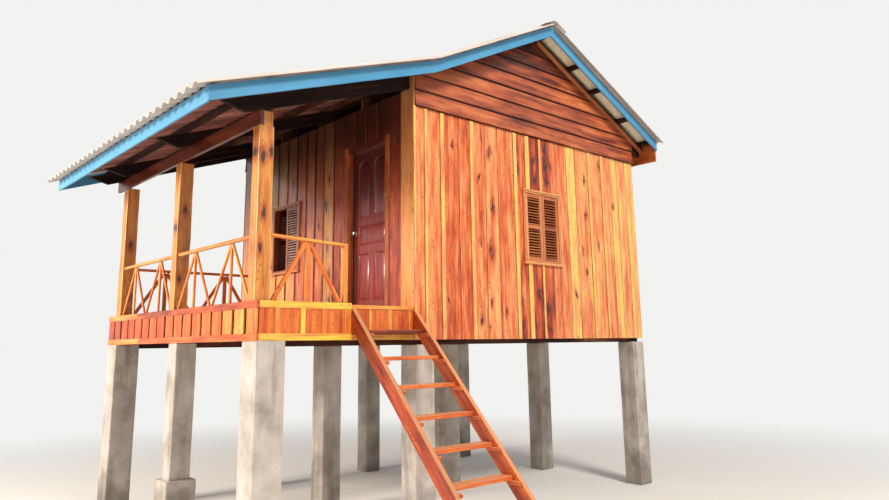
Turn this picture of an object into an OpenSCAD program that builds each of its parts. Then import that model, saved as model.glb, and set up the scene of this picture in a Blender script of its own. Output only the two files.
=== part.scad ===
/* [House] */
// Width of the gable wall, front wall to back wall
gable_w = 4400; // [3600:50:5600]
// Length of the house along the ridge
house_l = 4200; // [3400:50:5400]
// Depth of the open porch in front of the door
porch_d = 1900; // [1400:50:2600]
// Height of the foot of the walls above the lowest ground
foot_z = 2050; // [1200:50:3000]
// Height of the deck above the foot of the walls
deck_rise = 356; // [320:2:420]
// Height of the eave end of the upright wall boards over the wall foot
frieze_z = 2675; // [2500:25:2900]
// Height of the porch rail above the wall foot
rail_z = 1010; // [900:5:1300]

/* [Roof] */
// Height of the barge boards' lower edge at the ridge, over the wall foot
apex_z = 4069; // [3700:1:4600]
// Height of the same edge where the porch roof starts
kink_z = 3012; // [2900:1:3200]
// Distance of that bend behind the front wall
kink_x = 89; // [60:1:200]
// Height of the same edge at the porch eave
porch_eave_z = 2077; // [1950:1:2250]
// Height of the same edge at the back eave
back_eave_z = 2875; // [2800:1:2950]
// Roof overhang past the back wall
back_over = 290; // [200:10:500]
// Roof overhang past the porch posts
porch_over = 683; // [500:1:800]
// Roof overhang past the gable walls
verge = 292; // [200:1:450]
// Height of the barge boards and the fascia
barge_h = 145; // [100:5:200]
// Width of one wave of the roof sheets
wave = 177; // [120:1:200]
// Depth of the waves
wave_depth = 50; // [30:1:60]

/* [Door and windows] */
// Width of the doorway between its jambs
door_w = 777; // [650:1:900]
// Height of the doorway over the deck
door_h = 2007; // [1850:1:2100]
// Distance of the doorway from the near gable wall
door_y = 555; // [400:5:900]
// Width of a window opening
window_w = 706; // [500:2:900]
// Height of a window opening
window_h = 931; // [700:1:1100]
// Height of a window's opening over the wall foot
window_z = 978; // [850:1:1200]
// Distance of a gable window from the front wall
window_x = 1835; // [1200:5:2600]
// Distance of the front window from the near gable wall
window_y = 2498; // [2300:2:2800]

/* [Ladder] */
// Width of the ladder over its stringers
ladder_w = 864; // [600:2:1100]
// Distance of the ladder's foot from the edge of the deck
ladder_run = 2220; // [1500:10:3600]
// Number of treads below the deck
tread_n = 8; // [4:1:12]

/* [Hidden] */

deck_z = foot_z + deck_rise;
board_t = 25;
stud = 90;
floor_t = 28;
joist_h = 150;
joist_t = 50;
bearer_t = 100;
joist_n = 10;
joist_in = 60;
play = 2;
notch = 1;
joist_z = deck_z - floor_t - joist_h;
bearer_drop = 52;
bearer_z = foot_z - bearer_drop;

ridge_x = gable_w / 2;
porch_eave_x = -porch_d - porch_over;
back_eave_x = gable_w + back_over;
rafter_up = 70;
rafter_drop = 88;
back_drop = 60;
rafter_t = 50;
tail_drop = 45;
cut_over = 1;
purlin_t = 50;
barge_t = 25;
sheet_t = 7;
sheet_side = 86;
sheet_end = 120;
lap_gap = 10;
rafter_bays = 4;
front_purlins = [0.25, 0.54, 0.96];
back_purlins = [0.01, 0.265, 0.465, 0.73, 0.955];
fascia_drop = 165;

beam_t = 40;
beam_h = 150;
beam_up = 8;
beam_low = foot_z + porch_eave_z + beam_up;
beam_top = beam_low + beam_h;
post_w = 165;
post_d = 140;
post_y = 64;
post_slim = 30;
slim_up = 150;
mid_post_in = 110;
far_post_in = 420;
mid_post_y = house_l / 2 - mid_post_in;
far_post_y = house_l - far_post_in;

corner_pier = 300;
pier_w = 265;
slim_pier = 232;
slim_out = 33;
footing_w = 330;
footing_h = 605;
near_row_out = 20;
mid_row_in = 150;
far_row_in = 165;

skirt_t = 30;
skirt_h = 373;
skirt_top = foot_z + skirt_h;
skirt_rail = 68;
slat_n = 17;
slat_share = 0.82;
slat_in = 8;
slat_back = 4;
ladder_rail = 58;
ladder_slot = 42;
step_h = 42;
rail_h = 35;
rail_t = 40;
baluster = 50;
ladder_x = -842;
rail_post_x = -912;
rail_post_w = 55;
rail_post_d = 60;

leaf_t = 32;
gap = 5;
butt = 0.5;
seat = 0.05;

tread_rise = deck_z / (tread_n + 1);
tread_lift = 12;
tread_t = 38;
tread_d = 148;
stringer_t = 50;
stringer_d = 150;
stringer_in = 48;
stringer_top = skirt_top - stringer_in;
ladder_pitch = stringer_top / ladder_run;
nose_in = 55;
cleat_in = 10;
cleat_d = 188;
cleat_h = 35;
cleat_t = 35;

sheets_l = house_l + 2 * (verge + sheet_side);
wave_n = round(sheets_l / wave);
wave_w = sheets_l / wave_n;
wave_steps = 8;

function porch_line(x) = foot_z + porch_eave_z
    + (x - porch_eave_x) * (kink_z - porch_eave_z) / (kink_x - porch_eave_x);
function front_line(x) = foot_z + kink_z
    + (x - kink_x) * (apex_z - kink_z) / (ridge_x - kink_x);
function back_line(x) = foot_z + back_eave_z
    + (back_eave_x - x) * (apex_z - back_eave_z) / (back_eave_x - ridge_x);
function roof_line(x) = x < kink_x ? porch_line(x) : x < ridge_x ? front_line(x) : back_line(x);

porch_a = atan2(kink_z - porch_eave_z, kink_x - porch_eave_x);
front_a = atan2(apex_z - kink_z, ridge_x - kink_x);
back_a = atan2(back_eave_z - apex_z, back_eave_x - ridge_x);

ladder_foot_y = -ladder_run;
low_x = porch_eave_x - sheet_end - wave_depth * sin(porch_a);
high_x = back_eave_x + sheet_end / 2 + wave_depth * sin(-back_a);
mid_x = (low_x + high_x) / 2;
mid_y = (ladder_foot_y + house_l + verge + sheet_side) / 2;

module place() translate([-mid_x, -mid_y, 0]) children();

module box(x0, x1, y0, y1, z0, z1) translate([x0, y0, z0]) cube([x1 - x0, y1 - y0, z1 - z0]);

// Draws (x, z) shapes and runs them from y0 to y1
module along_y(y0, y1) translate([0, y1, 0]) rotate([90, 0, 0]) linear_extrude(y1 - y0) children();

// Draws (y, z) shapes and runs them from x0 to x1
module along_x(x0, x1) translate([x0, 0, 0]) rotate([90, 0, 90]) linear_extrude(x1 - x0) children();

// Concrete piers in three rows, each standing on the lowest ground. The ones along the edge
// of the deck rise past the bearers, which lie in pockets in their heads.
row_y = [corner_pier / 2 - near_row_out, house_l / 2 - mid_row_in,
    house_l - corner_pier / 2 - far_row_in];
line_x = [-porch_d + corner_pier / 2, pier_w / 2, ridge_x, gable_w - pier_w / 2 - play];
slim_x = line_x[0] - slim_out;

bearer_x = -porch_d + skirt_t + play;

module pier(x, y, w, z0, z1) box(x - w / 2, x + w / 2, y - w / 2, y + w / 2, z0, z1);

module concrete_piers() color("lightgray") {
    difference() {
        union() {
            for (y = [row_y[0], row_y[2]]) pier(line_x[0], y, corner_pier, 0, foot_z);
            pier(slim_x, row_y[1], slim_pier, footing_h, foot_z);
        }
        for (y = row_y) box(bearer_x, 0, y - bearer_t / 2 - play, y + bearer_t / 2 + play,
            bearer_z, foot_z + cut_over);
    }
    for (y = row_y, x = [line_x[1], line_x[3]]) pier(x, y, pier_w, 0, bearer_z);
    for (y = [row_y[1], row_y[2]]) pier(line_x[2], y, pier_w, 0, bearer_z);
    pier(slim_x, row_y[1], footing_w, 0, footing_h);
}

// Timber floor frame and floors
module floor_bearers() color("saddlebrown")
    for (y = row_y) box(bearer_x, gable_w - board_t - play, y - bearer_t / 2, y + bearer_t / 2,
        bearer_z, joist_z);

joist_gap = (gable_w + porch_d - 2 * joist_in) / (joist_n - 1);

module floor_joists() color("sienna")
    for (i = [0:joist_n - 1]) translate([-porch_d + joist_in + i * joist_gap, 0, 0])
        box(-joist_t / 2, joist_t / 2, skirt_t + play, house_l - skirt_t - play, joist_z,
            joist_z + joist_h);

module room_floor() color("peru") difference() {
    box(board_t, gable_w - board_t, board_t, house_l - board_t, deck_z - floor_t, deck_z);
    for (p = post_spots) box(p[0] - notch, p[0] + stud + notch, p[1] - notch,
        p[1] + stud + notch, deck_z - floor_t - notch, deck_z + notch);
}

module porch_floor() color("chocolate")
    box(-porch_d + skirt_t, 0, skirt_t, house_l - skirt_t, deck_z - floor_t, deck_z);

// Skirts round the deck edge
slat_pitch = house_l / slat_n;
slat_side = (1 - slat_share) / 2;

module skirt_rails(x0, x1, y0, y1) {
    box(x0, x1, y0, y1, foot_z, foot_z + skirt_rail);
    box(x0, x1, y0, y1, skirt_top - skirt_rail, skirt_top);
}

module left_skirt() color("sandybrown") {
    skirt_rails(-porch_d, -porch_d + skirt_t, 0, house_l);
    for (i = [0:slat_n - 1])
        box(-porch_d + slat_in, -porch_d + skirt_t - slat_back, slat_pitch * (i + slat_side),
            slat_pitch * (i + 1 - slat_side), foot_z + skirt_rail, skirt_top - skirt_rail);
}

module end_skirt(x1) {
    skirt_rails(-porch_d + skirt_t, x1, 0, skirt_t);
    box(-porch_d + skirt_t, x1, slat_in, skirt_t - slat_back, foot_z + skirt_rail,
        skirt_top - skirt_rail);
}

module end_skirts() color("goldenrod") {
    end_skirt(ladder_x);
    translate([0, house_l, 0]) mirror([0, 1, 0]) end_skirt(0);
}

module ladder_skirt() color("orange") {
    low = foot_z + ladder_rail;
    box(ladder_x, 0, 0, skirt_t, foot_z, low);
    box(ladder_x, 0, 0, skirt_t, deck_z - step_h, deck_z);
    box(ladder_x, 0, slat_in, skirt_t - slat_back, low + ladder_slot, deck_z - step_h);
    for (x = [ladder_x, -stringer_t])
        box(x, x + stringer_t, slat_in, skirt_t, low, low + ladder_slot);
}

// Ladder up to the porch
function ladder_y(z) = -(stringer_top - z) / ladder_pitch;

function tread_z(i) = deck_z - i * tread_rise + tread_lift - tread_t;

module ladder_stringers() color("orangered") {
    drop = stringer_d / cos(atan(ladder_pitch));
    back_y = drop / ladder_pitch;
    for (x = [ladder_x, ladder_x + ladder_w - stringer_t]) along_x(x, x + stringer_t)
        polygon([[0, stringer_top], [0, stringer_top - drop], [ladder_y(0) + back_y, 0],
            [ladder_y(0), 0]]);
    for (i = [1:tread_n]) {
        z = tread_z(i);
        y = ladder_y(z - cleat_h) + cleat_in;
        for (x = [ladder_x + stringer_t, ladder_x + ladder_w - stringer_t - cleat_t])
            box(x, x + cleat_t, y, y + cleat_d - cleat_h / ladder_pitch, z - cleat_h, z);
    }
}

module ladder_treads() color("coral") for (i = [1:tread_n]) {
    z = tread_z(i);
    y = ladder_y(z + tread_t) + nose_in;
    box(ladder_x + stringer_t, ladder_x + ladder_w - stringer_t, y, y + tread_d, z, z + tread_t);
}

// Timber frame of the room
door_side = 80;
wall_top = foot_z + frieze_z;
inner_x = gable_w - board_t - stud;
inner_y = house_l - board_t - stud;
beside = 70;
front_stud_y = (door_y + door_w + door_side + window_y - stud) / 2;
window_studs = [window_x - beside - stud, window_x + window_w + beside];
post_spots = [for (x = concat([board_t, inner_x], window_studs), y = [board_t, inner_y]) [x, y],
    [inner_x, (house_l - stud) / 2], [board_t, front_stud_y]];
plate_h = 100;
front_sink = 15;
back_sink = 30;
front_seat = porch_line(board_t) - rafter_drop + front_sink;
back_seat = back_line(gable_w) - back_drop + back_sink;
function post_top(x) = x < stud ? front_seat : x >= inner_x ? back_seat : wall_top;

module wall_posts() color("saddlebrown")
    for (p = post_spots) box(p[0], p[0] + stud, p[1], p[1] + stud, deck_z - floor_t,
        post_top(p[0]) - plate_h);

module wall_plates() color("saddlebrown") {
    box(board_t, board_t + stud, board_t, house_l - board_t, front_seat - plate_h, front_seat);
    box(inner_x, inner_x + stud, board_t, house_l - board_t, back_seat - plate_h, back_seat);
    for (y = [board_t, inner_y])
        box(board_t + stud, inner_x, y + play, y + stud - play, wall_top - plate_h, wall_top);
}

// Walls of upright boards
module gable_wall(y0) difference() {
    box(0, gable_w, y0, y0 + board_t, foot_z, wall_top);
    box(window_x, window_x + window_w, y0 - 1, y0 + board_t + 1, foot_z + window_z,
        foot_z + window_z + window_h);
}

module gable_walls() color("darkorange") for (y = [0, house_l - board_t]) gable_wall(y);

// Lapped boards fill the gable up to the purlins, standing a little proud of the boards below.
// A strip covers their ends along the back slope and runs on to the fascia.
lap_out = 30;
strip_t = 20;
strip_drop = 40;
under_purlins = rafter_up - seat;

module gable_shape() polygon([[0, wall_top], [gable_w, wall_top],
    [gable_w, back_line(gable_w) + under_purlins], [ridge_x, foot_z + apex_z + under_purlins],
    [kink_x, foot_z + kink_z + under_purlins], [0, porch_line(0) + under_purlins]]);

module strip_shape() polygon([[ridge_x, foot_z + apex_z - strip_drop],
    [back_tail_x, back_line(back_tail_x) - strip_drop],
    [back_tail_x, back_line(back_tail_x) + under_purlins],
    [ridge_x, foot_z + apex_z + under_purlins]]);

module gable_tops() color("peru") {
    along_y(-lap_out, board_t) gable_shape();
    along_y(-lap_out - strip_t, -lap_out) strip_shape();
    along_y(house_l - board_t, house_l + lap_out) gable_shape();
    along_y(house_l + lap_out, house_l + lap_out + strip_t) strip_shape();
}

module back_wall() color("darkorange")
    box(gable_w - board_t, gable_w, board_t, house_l - board_t, foot_z,
        back_line(gable_w) - back_drop);

front_top = porch_line(0) - rafter_drop;
front_low = deck_z - floor_t;
window_top = foot_z + window_z + window_h;

module front_wall_near() color("chocolate")
    box(0, board_t, board_t, door_y - door_side, front_low, front_top);

module front_wall_far() color("chocolate") difference() {
    box(0, board_t, door_y + door_w + door_side, house_l - board_t, front_low, front_top);
    box(-1, board_t + 1, window_y, window_y + window_w, foot_z + window_z, window_top);
}

module front_wall_head() color("chocolate")
    box(0, board_t, door_y - door_side, door_y + door_w + door_side,
        deck_z + door_h + door_side, front_top);

// Door frame with a stop, and the panelled leaf
jamb_in = 125;
jamb_out = 8;
stop_t = 12;
stop_d = 14;
leaf_back = 8;
leaf_x = jamb_in - leaf_t - leaf_back;
stop_x = leaf_x - gap;

module door_frame() color("peru") {
    for (y = [door_y - door_side, door_y + door_w])
        box(-jamb_out, jamb_in, y, y + door_side, deck_z, deck_z + door_h + door_side);
    box(-jamb_out, jamb_in, door_y, door_y + door_w, deck_z + door_h,
        deck_z + door_h + door_side);
    box(0, board_t, door_y - door_side, door_y + door_w + door_side, front_low, deck_z);
    for (y = [door_y, door_y + door_w - stop_t])
        box(stop_x - stop_d, stop_x, y, y + stop_t, deck_z, deck_z + door_h);
    box(stop_x - stop_d, stop_x, door_y + stop_t, door_y + door_w - stop_t,
        deck_z + door_h - stop_t, deck_z + door_h);
}

leaf_y = door_y + gap;
leaf_w = door_w - 2 * gap;
leaf_up = 8;
leaf_z = deck_z + leaf_up;
leaf_h = door_h - leaf_up - gap;
stile = 102;
mullion = 92;
panel_in = 9;
pane_w = (leaf_w - 2 * stile - mullion) / 2;
low_panel_h = 588;
mid_panel_h = 254;
low_rail = 112;
lock_rail = 94;
mid_z = leaf_z + low_rail + low_panel_h + lock_rail;
top_z = mid_z + mid_panel_h + lock_rail;
top_panel_h = leaf_z + leaf_h - stile - top_z;

module panel_shapes() {
    for (y = [leaf_y + stile, leaf_y + stile + pane_w + mullion]) {
        translate([y, leaf_z + low_rail]) square([pane_w, low_panel_h]);
        translate([y, top_z]) square([pane_w, top_panel_h - pane_w / 2]);
        translate([y + pane_w / 2, top_z + top_panel_h - pane_w / 2])
            circle(r = pane_w / 2, $fn = 48);
    }
    translate([leaf_y + stile, mid_z]) square([leaf_w - 2 * stile, mid_panel_h]);
}

module front_door() color("maroon") difference() {
    box(leaf_x, leaf_x + leaf_t, leaf_y, leaf_y + leaf_w, leaf_z, leaf_z + leaf_h);
    along_x(leaf_x - 1, leaf_x + panel_in) panel_shapes();
    along_x(leaf_x + leaf_t - panel_in, leaf_x + leaf_t + 1) panel_shapes();
}

knob_in = 62;
knob_up = 965;
knob_y = leaf_y + leaf_w - knob_in;
knob_z = leaf_z + knob_up;
knob_r = 26;
knob_h = 26;
knob_out = 30;
neck_r = 10;
neck_h = 38;
rose_r = 30;
rose_h = 5;

module door_knobs() color("silver") for (s = [-1, 1])
    translate([leaf_x + leaf_t / 2 + s * leaf_t / 2, knob_y, knob_z]) rotate([0, s * 90, 0]) {
        cylinder(r = rose_r, h = rose_h, $fn = 48);
        cylinder(r = neck_r, h = neck_h, $fn = 48);
        translate([0, 0, knob_out]) cylinder(r = knob_r, h = knob_h, $fn = 48);
    }

// Lift-off hinges: the pin stands on the jamb's half and the leaf's half turns on it
hinge_out = 9;
hinge_x = jamb_in + hinge_out;
hinge_y = door_y + gap / 2;
hinge_r = 8;
pin_r = 4;
pin_play = 0.05;
knuckle_h = 45;
plate_t = 3;
plate_w = 38;
hinge_in = 160;
hinge_spots = [leaf_z + hinge_in, leaf_z + leaf_h / 2 - knuckle_h,
    leaf_z + leaf_h - hinge_in - 2 * knuckle_h];

module door_hinges() color("silver") for (z = hinge_spots) difference() {
    union() {
        translate([hinge_x, hinge_y, z + knuckle_h]) cylinder(r = hinge_r, h = knuckle_h, $fn = 48);
        box(leaf_x + leaf_t, hinge_x, hinge_y + pin_r + 1, hinge_y + hinge_r, z + knuckle_h,
            z + 2 * knuckle_h);
        box(leaf_x + leaf_t, leaf_x + leaf_t + plate_t, hinge_y + pin_r + 1, hinge_y + plate_w,
            z + knuckle_h, z + 2 * knuckle_h);
    }
    translate([hinge_x, hinge_y, z + knuckle_h - cut_over])
        cylinder(r = pin_r + pin_play, h = knuckle_h + 2 * cut_over, $fn = 48);
}

module hinge_pins() color("silver") for (z = hinge_spots) {
    translate([hinge_x, hinge_y, z]) cylinder(r = hinge_r, h = knuckle_h - pin_play, $fn = 48);
    translate([hinge_x, hinge_y, z]) cylinder(r = pin_r, h = 2 * knuckle_h, $fn = 48);
    box(jamb_in, jamb_in + plate_t, hinge_y - plate_w, hinge_y - play, z,
        z + knuckle_h - pin_play);
}

// Window frames with sill and head trim, and louvred shutter leaves
frame_w = 24;
frame_in = 60;
frame_out = 20;
casing = 16;
sill_side = 14;
sill_out = 16;
sill_h = 32;
head_side = 10;
head_out = 12;
head_h = 26;

module window_frame(w, h) {
    difference() {
        box(-frame_out, frame_in, 0, w, 0, h);
        box(-frame_out - 1, frame_in + 1, frame_w, w - frame_w, frame_w, h - frame_w);
    }
    for (y = [-casing, w]) box(-frame_out, 0, y, y + casing, 0, h);
    box(-frame_out - sill_out, 0, -casing - sill_side, w + casing + sill_side, -sill_h, 0);
    box(-frame_out - head_out, 0, -casing - head_side, w + casing + head_side, h, h + head_h);
}

leaf_gap = 4;
shutter_w = (window_w - 2 * frame_w - leaf_gap) / 2;
shutter_h = window_h - 2 * frame_w - leaf_gap;
louvre_t = 14;
leaf_stile = 46;
leaf_rail = 48;
leaf_out = 10;
louvre_h = (shutter_h - 3 * leaf_rail) / 2;

module louvre_fields(x0, x1) for (z = [leaf_rail, 2 * leaf_rail + louvre_h])
    box(x0, x1, leaf_stile, shutter_w - leaf_stile, z, z + louvre_h);

module shutter() {
    difference() {
        box(0, leaf_t, 0, shutter_w, 0, shutter_h);
        louvre_fields(-1, leaf_t + 1);
    }
    louvre_fields((leaf_t - louvre_t) / 2, (leaf_t + louvre_t) / 2);
}

module on_front() translate([0, window_y, foot_z + window_z]) children();

module on_near() translate([window_x, 0, foot_z + window_z]) mirror([1, 0, 0])
    rotate([0, 0, 90]) children();

module on_far() translate([0, house_l, 0]) mirror([0, 1, 0]) on_near() children();

module gable_window_frames() color("chocolate") {
    on_near() window_frame(window_w, window_h);
    on_far() window_frame(window_w, window_h);
}

module shutter_pair() for (y = [frame_w, frame_w + shutter_w + leaf_gap])
    translate([-leaf_out, y, frame_w]) shutter();

module gable_window_shutters() color("sienna") {
    on_near() shutter_pair();
    on_far() shutter_pair();
}

module front_window_frame() color("chocolate") on_front() window_frame(window_w, window_h);

module front_window_shutters() color("sienna") on_front() {
    translate([-leaf_out, frame_w, frame_w]) shutter();
    translate([frame_in, window_w + leaf_t, frame_w]) rotate([0, 0, -90]) shutter();
}

// Roof frame
rafter_first = board_t;
rafter_last = house_l - board_t - rafter_t;
rafter_in = 290;
house_rafter_y = [for (i = [0:rafter_bays])
    rafter_first + i * (rafter_last - rafter_first) / rafter_bays];
porch_rafter_y = [post_y, mid_post_y - rafter_in, far_post_y - rafter_in, rafter_last];
back_tail_x = back_eave_x - barge_t;
porch_tail_x = porch_eave_x + barge_t;
taper_in = 150;
taper_x = -porch_d - taper_in;

module house_rafters() color("saddlebrown") difference() {
    for (y = house_rafter_y) along_y(y, y + rafter_t) {
        polygon([
            [board_t, porch_line(board_t) + rafter_up],
            [board_t, porch_line(board_t) - rafter_drop], [kink_x, foot_z + kink_z - rafter_drop],
            [ridge_x, foot_z + apex_z - rafter_drop], [ridge_x, foot_z + apex_z + rafter_up],
            [kink_x, foot_z + kink_z + rafter_up]]);
        polygon([
            [ridge_x + butt, back_line(ridge_x + butt) - back_drop],
            [back_tail_x, back_line(back_tail_x) - back_drop],
            [back_tail_x, back_line(back_tail_x) + rafter_up],
            [ridge_x + butt, back_line(ridge_x + butt) + rafter_up]]);
    }
    box(board_t - 1, board_t + stud, board_t, house_l - board_t, front_seat - plate_h, front_seat);
    box(inner_x, inner_x + stud, board_t, house_l - board_t, back_seat - plate_h, back_seat);
}

module porch_rafters() color("saddlebrown") difference() {
    for (y = porch_rafter_y) along_y(y, y + rafter_t) polygon([
        [board_t, porch_line(board_t) + rafter_up], [board_t, porch_line(board_t) - rafter_drop],
        [taper_x, porch_line(taper_x) - rafter_drop],
        [porch_tail_x, porch_line(porch_tail_x) - tail_drop],
        [porch_tail_x, porch_line(porch_tail_x) + rafter_up]]);
    box(-porch_d - 1, -porch_d + beam_t, post_y, house_l, beam_low, beam_top);
    box(-porch_d - 1, -porch_d + post_w, post_y, post_y + post_d, deck_z, beam_top);
}

porch_purlins = [0.02, 0.222, 0.476, 0.735, 0.97];
slope_purlins = [
    for (k = porch_purlins) [porch_eave_x + k * (kink_x - porch_eave_x), porch_a],
    for (k = front_purlins) [kink_x + k * (ridge_x - kink_x), front_a],
    for (k = back_purlins) [ridge_x + k * (back_eave_x - ridge_x), back_a]];

module roof_purlins() color("brown") for (p = slope_purlins)
    translate([p[0], -verge + barge_t + seat, roof_line(p[0]) + rafter_up + seat])
        rotate([0, -p[1], 0]) cube([purlin_t, house_l + 2 * (verge - barge_t - seat),
            (barge_h - rafter_up) * cos(p[1]) - 2 * seat]);

// Porch posts, hewn slimmer towards the top, and the beam they carry. The near post rises
// behind the beam, which is let into its outer face.
slim_z = foot_z + rail_z + slim_up;

function post_edge(z) = -porch_d + post_w - post_slim * (z - slim_z) / (beam_top - slim_z);

module porch_post(y) along_y(y, y + post_d) polygon([[-porch_d + skirt_t, deck_z],
    [-porch_d + post_w, deck_z], [-porch_d + post_w, slim_z], [post_edge(beam_low), beam_low],
    [-porch_d, beam_low], [-porch_d, skirt_top], [-porch_d + skirt_t, skirt_top]]);

module porch_posts() color("burlywood") {
    for (y = [post_y, mid_post_y, far_post_y]) porch_post(y);
    along_y(post_y, post_y + post_d) polygon([[-porch_d + beam_t, beam_low],
        [post_edge(beam_low), beam_low], [post_edge(beam_top), beam_top],
        [-porch_d + beam_t, beam_top]]);
}

module eave_beam() color("saddlebrown")
    box(-porch_d, -porch_d + beam_t, post_y, house_l, beam_low, beam_top);

// Barge boards on both verges, and the fascias
module barge_board(x0, z0, x1, z1)
    polygon([[x0, z0], [x1, z1], [x1, z1 + barge_h], [x0, z0 + barge_h]]);

module barge_set() {
    barge_board(porch_eave_x, foot_z + porch_eave_z, kink_x, foot_z + kink_z);
    barge_board(kink_x + butt, front_line(kink_x + butt), ridge_x, foot_z + apex_z);
    barge_board(ridge_x + butt, back_line(ridge_x + butt), back_eave_x, foot_z + back_eave_z);
}

module barge_boards() color("steelblue") {
    along_y(-verge, -verge + barge_t) barge_set();
    along_y(house_l + verge - barge_t, house_l + verge) barge_set();
}

module porch_fascia() color("skyblue") along_y(-verge + barge_t, house_l + verge - barge_t)
    polygon([[porch_eave_x, foot_z + porch_eave_z],
        [porch_eave_x + barge_t, foot_z + porch_eave_z],
        [porch_eave_x + barge_t, porch_line(porch_eave_x + barge_t) + barge_h],
        [porch_eave_x, foot_z + porch_eave_z + barge_h]]);

module back_fascia() color("chocolate") along_y(-verge + barge_t, house_l + verge - barge_t)
    polygon([[back_eave_x - barge_t, foot_z + back_eave_z - fascia_drop],
        [back_eave_x, foot_z + back_eave_z - fascia_drop],
        [back_eave_x, foot_z + back_eave_z + barge_h],
        [back_eave_x - barge_t, back_line(back_eave_x - barge_t) + barge_h]]);

// Corrugated sheets: one wave profile run down each slope
function wave_h(i) = (wave_depth - sheet_t) / 2 * (1 - cos(360 * i / wave_steps));

module sheet_profile() polygon(concat(
    [for (i = [0:wave_n * wave_steps]) [-verge - sheet_side + i * wave_w / wave_steps, wave_h(i)]],
    [for (i = [wave_n * wave_steps:-1:0])
        [-verge - sheet_side + i * wave_w / wave_steps, wave_h(i) + sheet_t]]));

module slope_sheet(x0, z0, tilt, from, to)
    translate([x0, 0, z0]) rotate([0, -tilt, 0]) along_x(from, to) sheet_profile();

module porch_roof_sheets() color("gainsboro")
    slope_sheet(porch_eave_x, foot_z + porch_eave_z + barge_h, porch_a,
        -sheet_end / cos(porch_a), (kink_x - porch_eave_x) / cos(porch_a) - lap_gap);

module front_roof_sheets() color("gainsboro")
    slope_sheet(kink_x, foot_z + kink_z + barge_h, front_a, butt,
        (ridge_x - kink_x) / cos(front_a) - lap_gap);

module back_roof_sheets() color("gainsboro")
    slope_sheet(ridge_x, foot_z + apex_z + barge_h, back_a, ridge_gap,
        (back_eave_x - ridge_x + sheet_end / 2) / cos(back_a));

ridge_gap = 40;
cap_w = 230;
cap_t = 8;
cap_z = foot_z + apex_z + barge_h + wave_depth / cos(front_a);

module ridge_cap() color("gainsboro") along_y(-verge - sheet_side, house_l + verge + sheet_side)
    polygon([[ridge_x, cap_z], [ridge_x + cap_w, cap_z + cap_w * tan(back_a)],
        [ridge_x + cap_w, cap_z + cap_t + cap_w * tan(back_a)], [ridge_x, cap_z + cap_t],
        [ridge_x - cap_w, cap_z + cap_t - cap_w * tan(front_a)],
        [ridge_x - cap_w, cap_z - cap_w * tan(front_a)]]);

// Railings: a king post with a leaning stick to each side, between two rails
rail_low = skirt_top;
rail_top = foot_z + rail_z;
foot_in = 4;
stick_w = 40;
rail_in = 20;
post_cap = 12;

module king_shape(len, n) {
    bay = len / n;
    for (i = [0:n - 1]) translate([i * bay, 0]) {
        translate([bay / 2 - baluster / 2, rail_low])
            square([baluster, rail_top - rail_h / 2 - rail_low]);
        for (s = [0, 1]) translate([s * bay, 0]) mirror([s, 0]) polygon([
            [foot_in, rail_low], [foot_in + baluster, rail_low],
            [bay / 2 + foot_in, rail_top - rail_h - stick_w],
            [bay / 2 + foot_in, rail_top - rail_h / 2],
            [bay / 2 - baluster, rail_top - rail_h / 2]]);
    }
    translate([0, rail_top - rail_h]) square([len, rail_h]);
}

module left_railing() color("sandybrown") {
    x = -porch_d + rail_in;
    near = post_y + post_d;
    along_x(x, x + rail_t) translate([near, 0]) king_shape(mid_post_y - near, 2);
    along_x(x, x + rail_t) translate([mid_post_y + post_d, 0])
        king_shape(far_post_y - mid_post_y - post_d, 2);
}

module near_railing() color("sandybrown") {
    start = -porch_d + post_w;
    mid = post_y + rail_t / 2;
    along_y(post_y, post_y + rail_t) translate([start, 0]) king_shape(rail_post_x - start, 1);
    box(rail_post_x, rail_post_x + rail_post_w, mid - rail_post_d / 2, mid + rail_post_d / 2,
        deck_z, rail_top + post_cap);
}

module far_railing() color("sandybrown") {
    start = -porch_d + post_w;
    y = far_post_y + (post_d - rail_t) / 2;
    along_y(y, y + rail_t) translate([start, 0]) king_shape(-start, 2);
}

place() concrete_piers();
place() floor_bearers();
place() floor_joists();
place() room_floor();
place() porch_floor();
place() left_skirt();
place() end_skirts();
place() ladder_skirt();
place() ladder_stringers();
place() ladder_treads();
place() wall_posts();
place() wall_plates();
place() gable_walls();
place() gable_tops();
place() back_wall();
place() front_wall_near();
place() front_wall_far();
place() front_wall_head();
place() door_frame();
place() front_door();
place() door_knobs();
place() door_hinges();
place() hinge_pins();
place() gable_window_frames();
place() gable_window_shutters();
place() front_window_frame();
place() front_window_shutters();
place() house_rafters();
place() porch_rafters();
place() roof_purlins();
place() eave_beam();
place() porch_posts();
place() barge_boards();
place() porch_fascia();
place() back_fascia();
place() back_roof_sheets();
place() front_roof_sheets();
place() porch_roof_sheets();
place() ridge_cap();
place() left_railing();
place() near_railing();
place() far_railing();
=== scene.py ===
"""Looks of a varnished timber cabin on concrete piers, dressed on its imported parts."""

import math

import bmesh
import bpy
import numpy as np
from mathutils import Matrix, Vector


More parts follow.
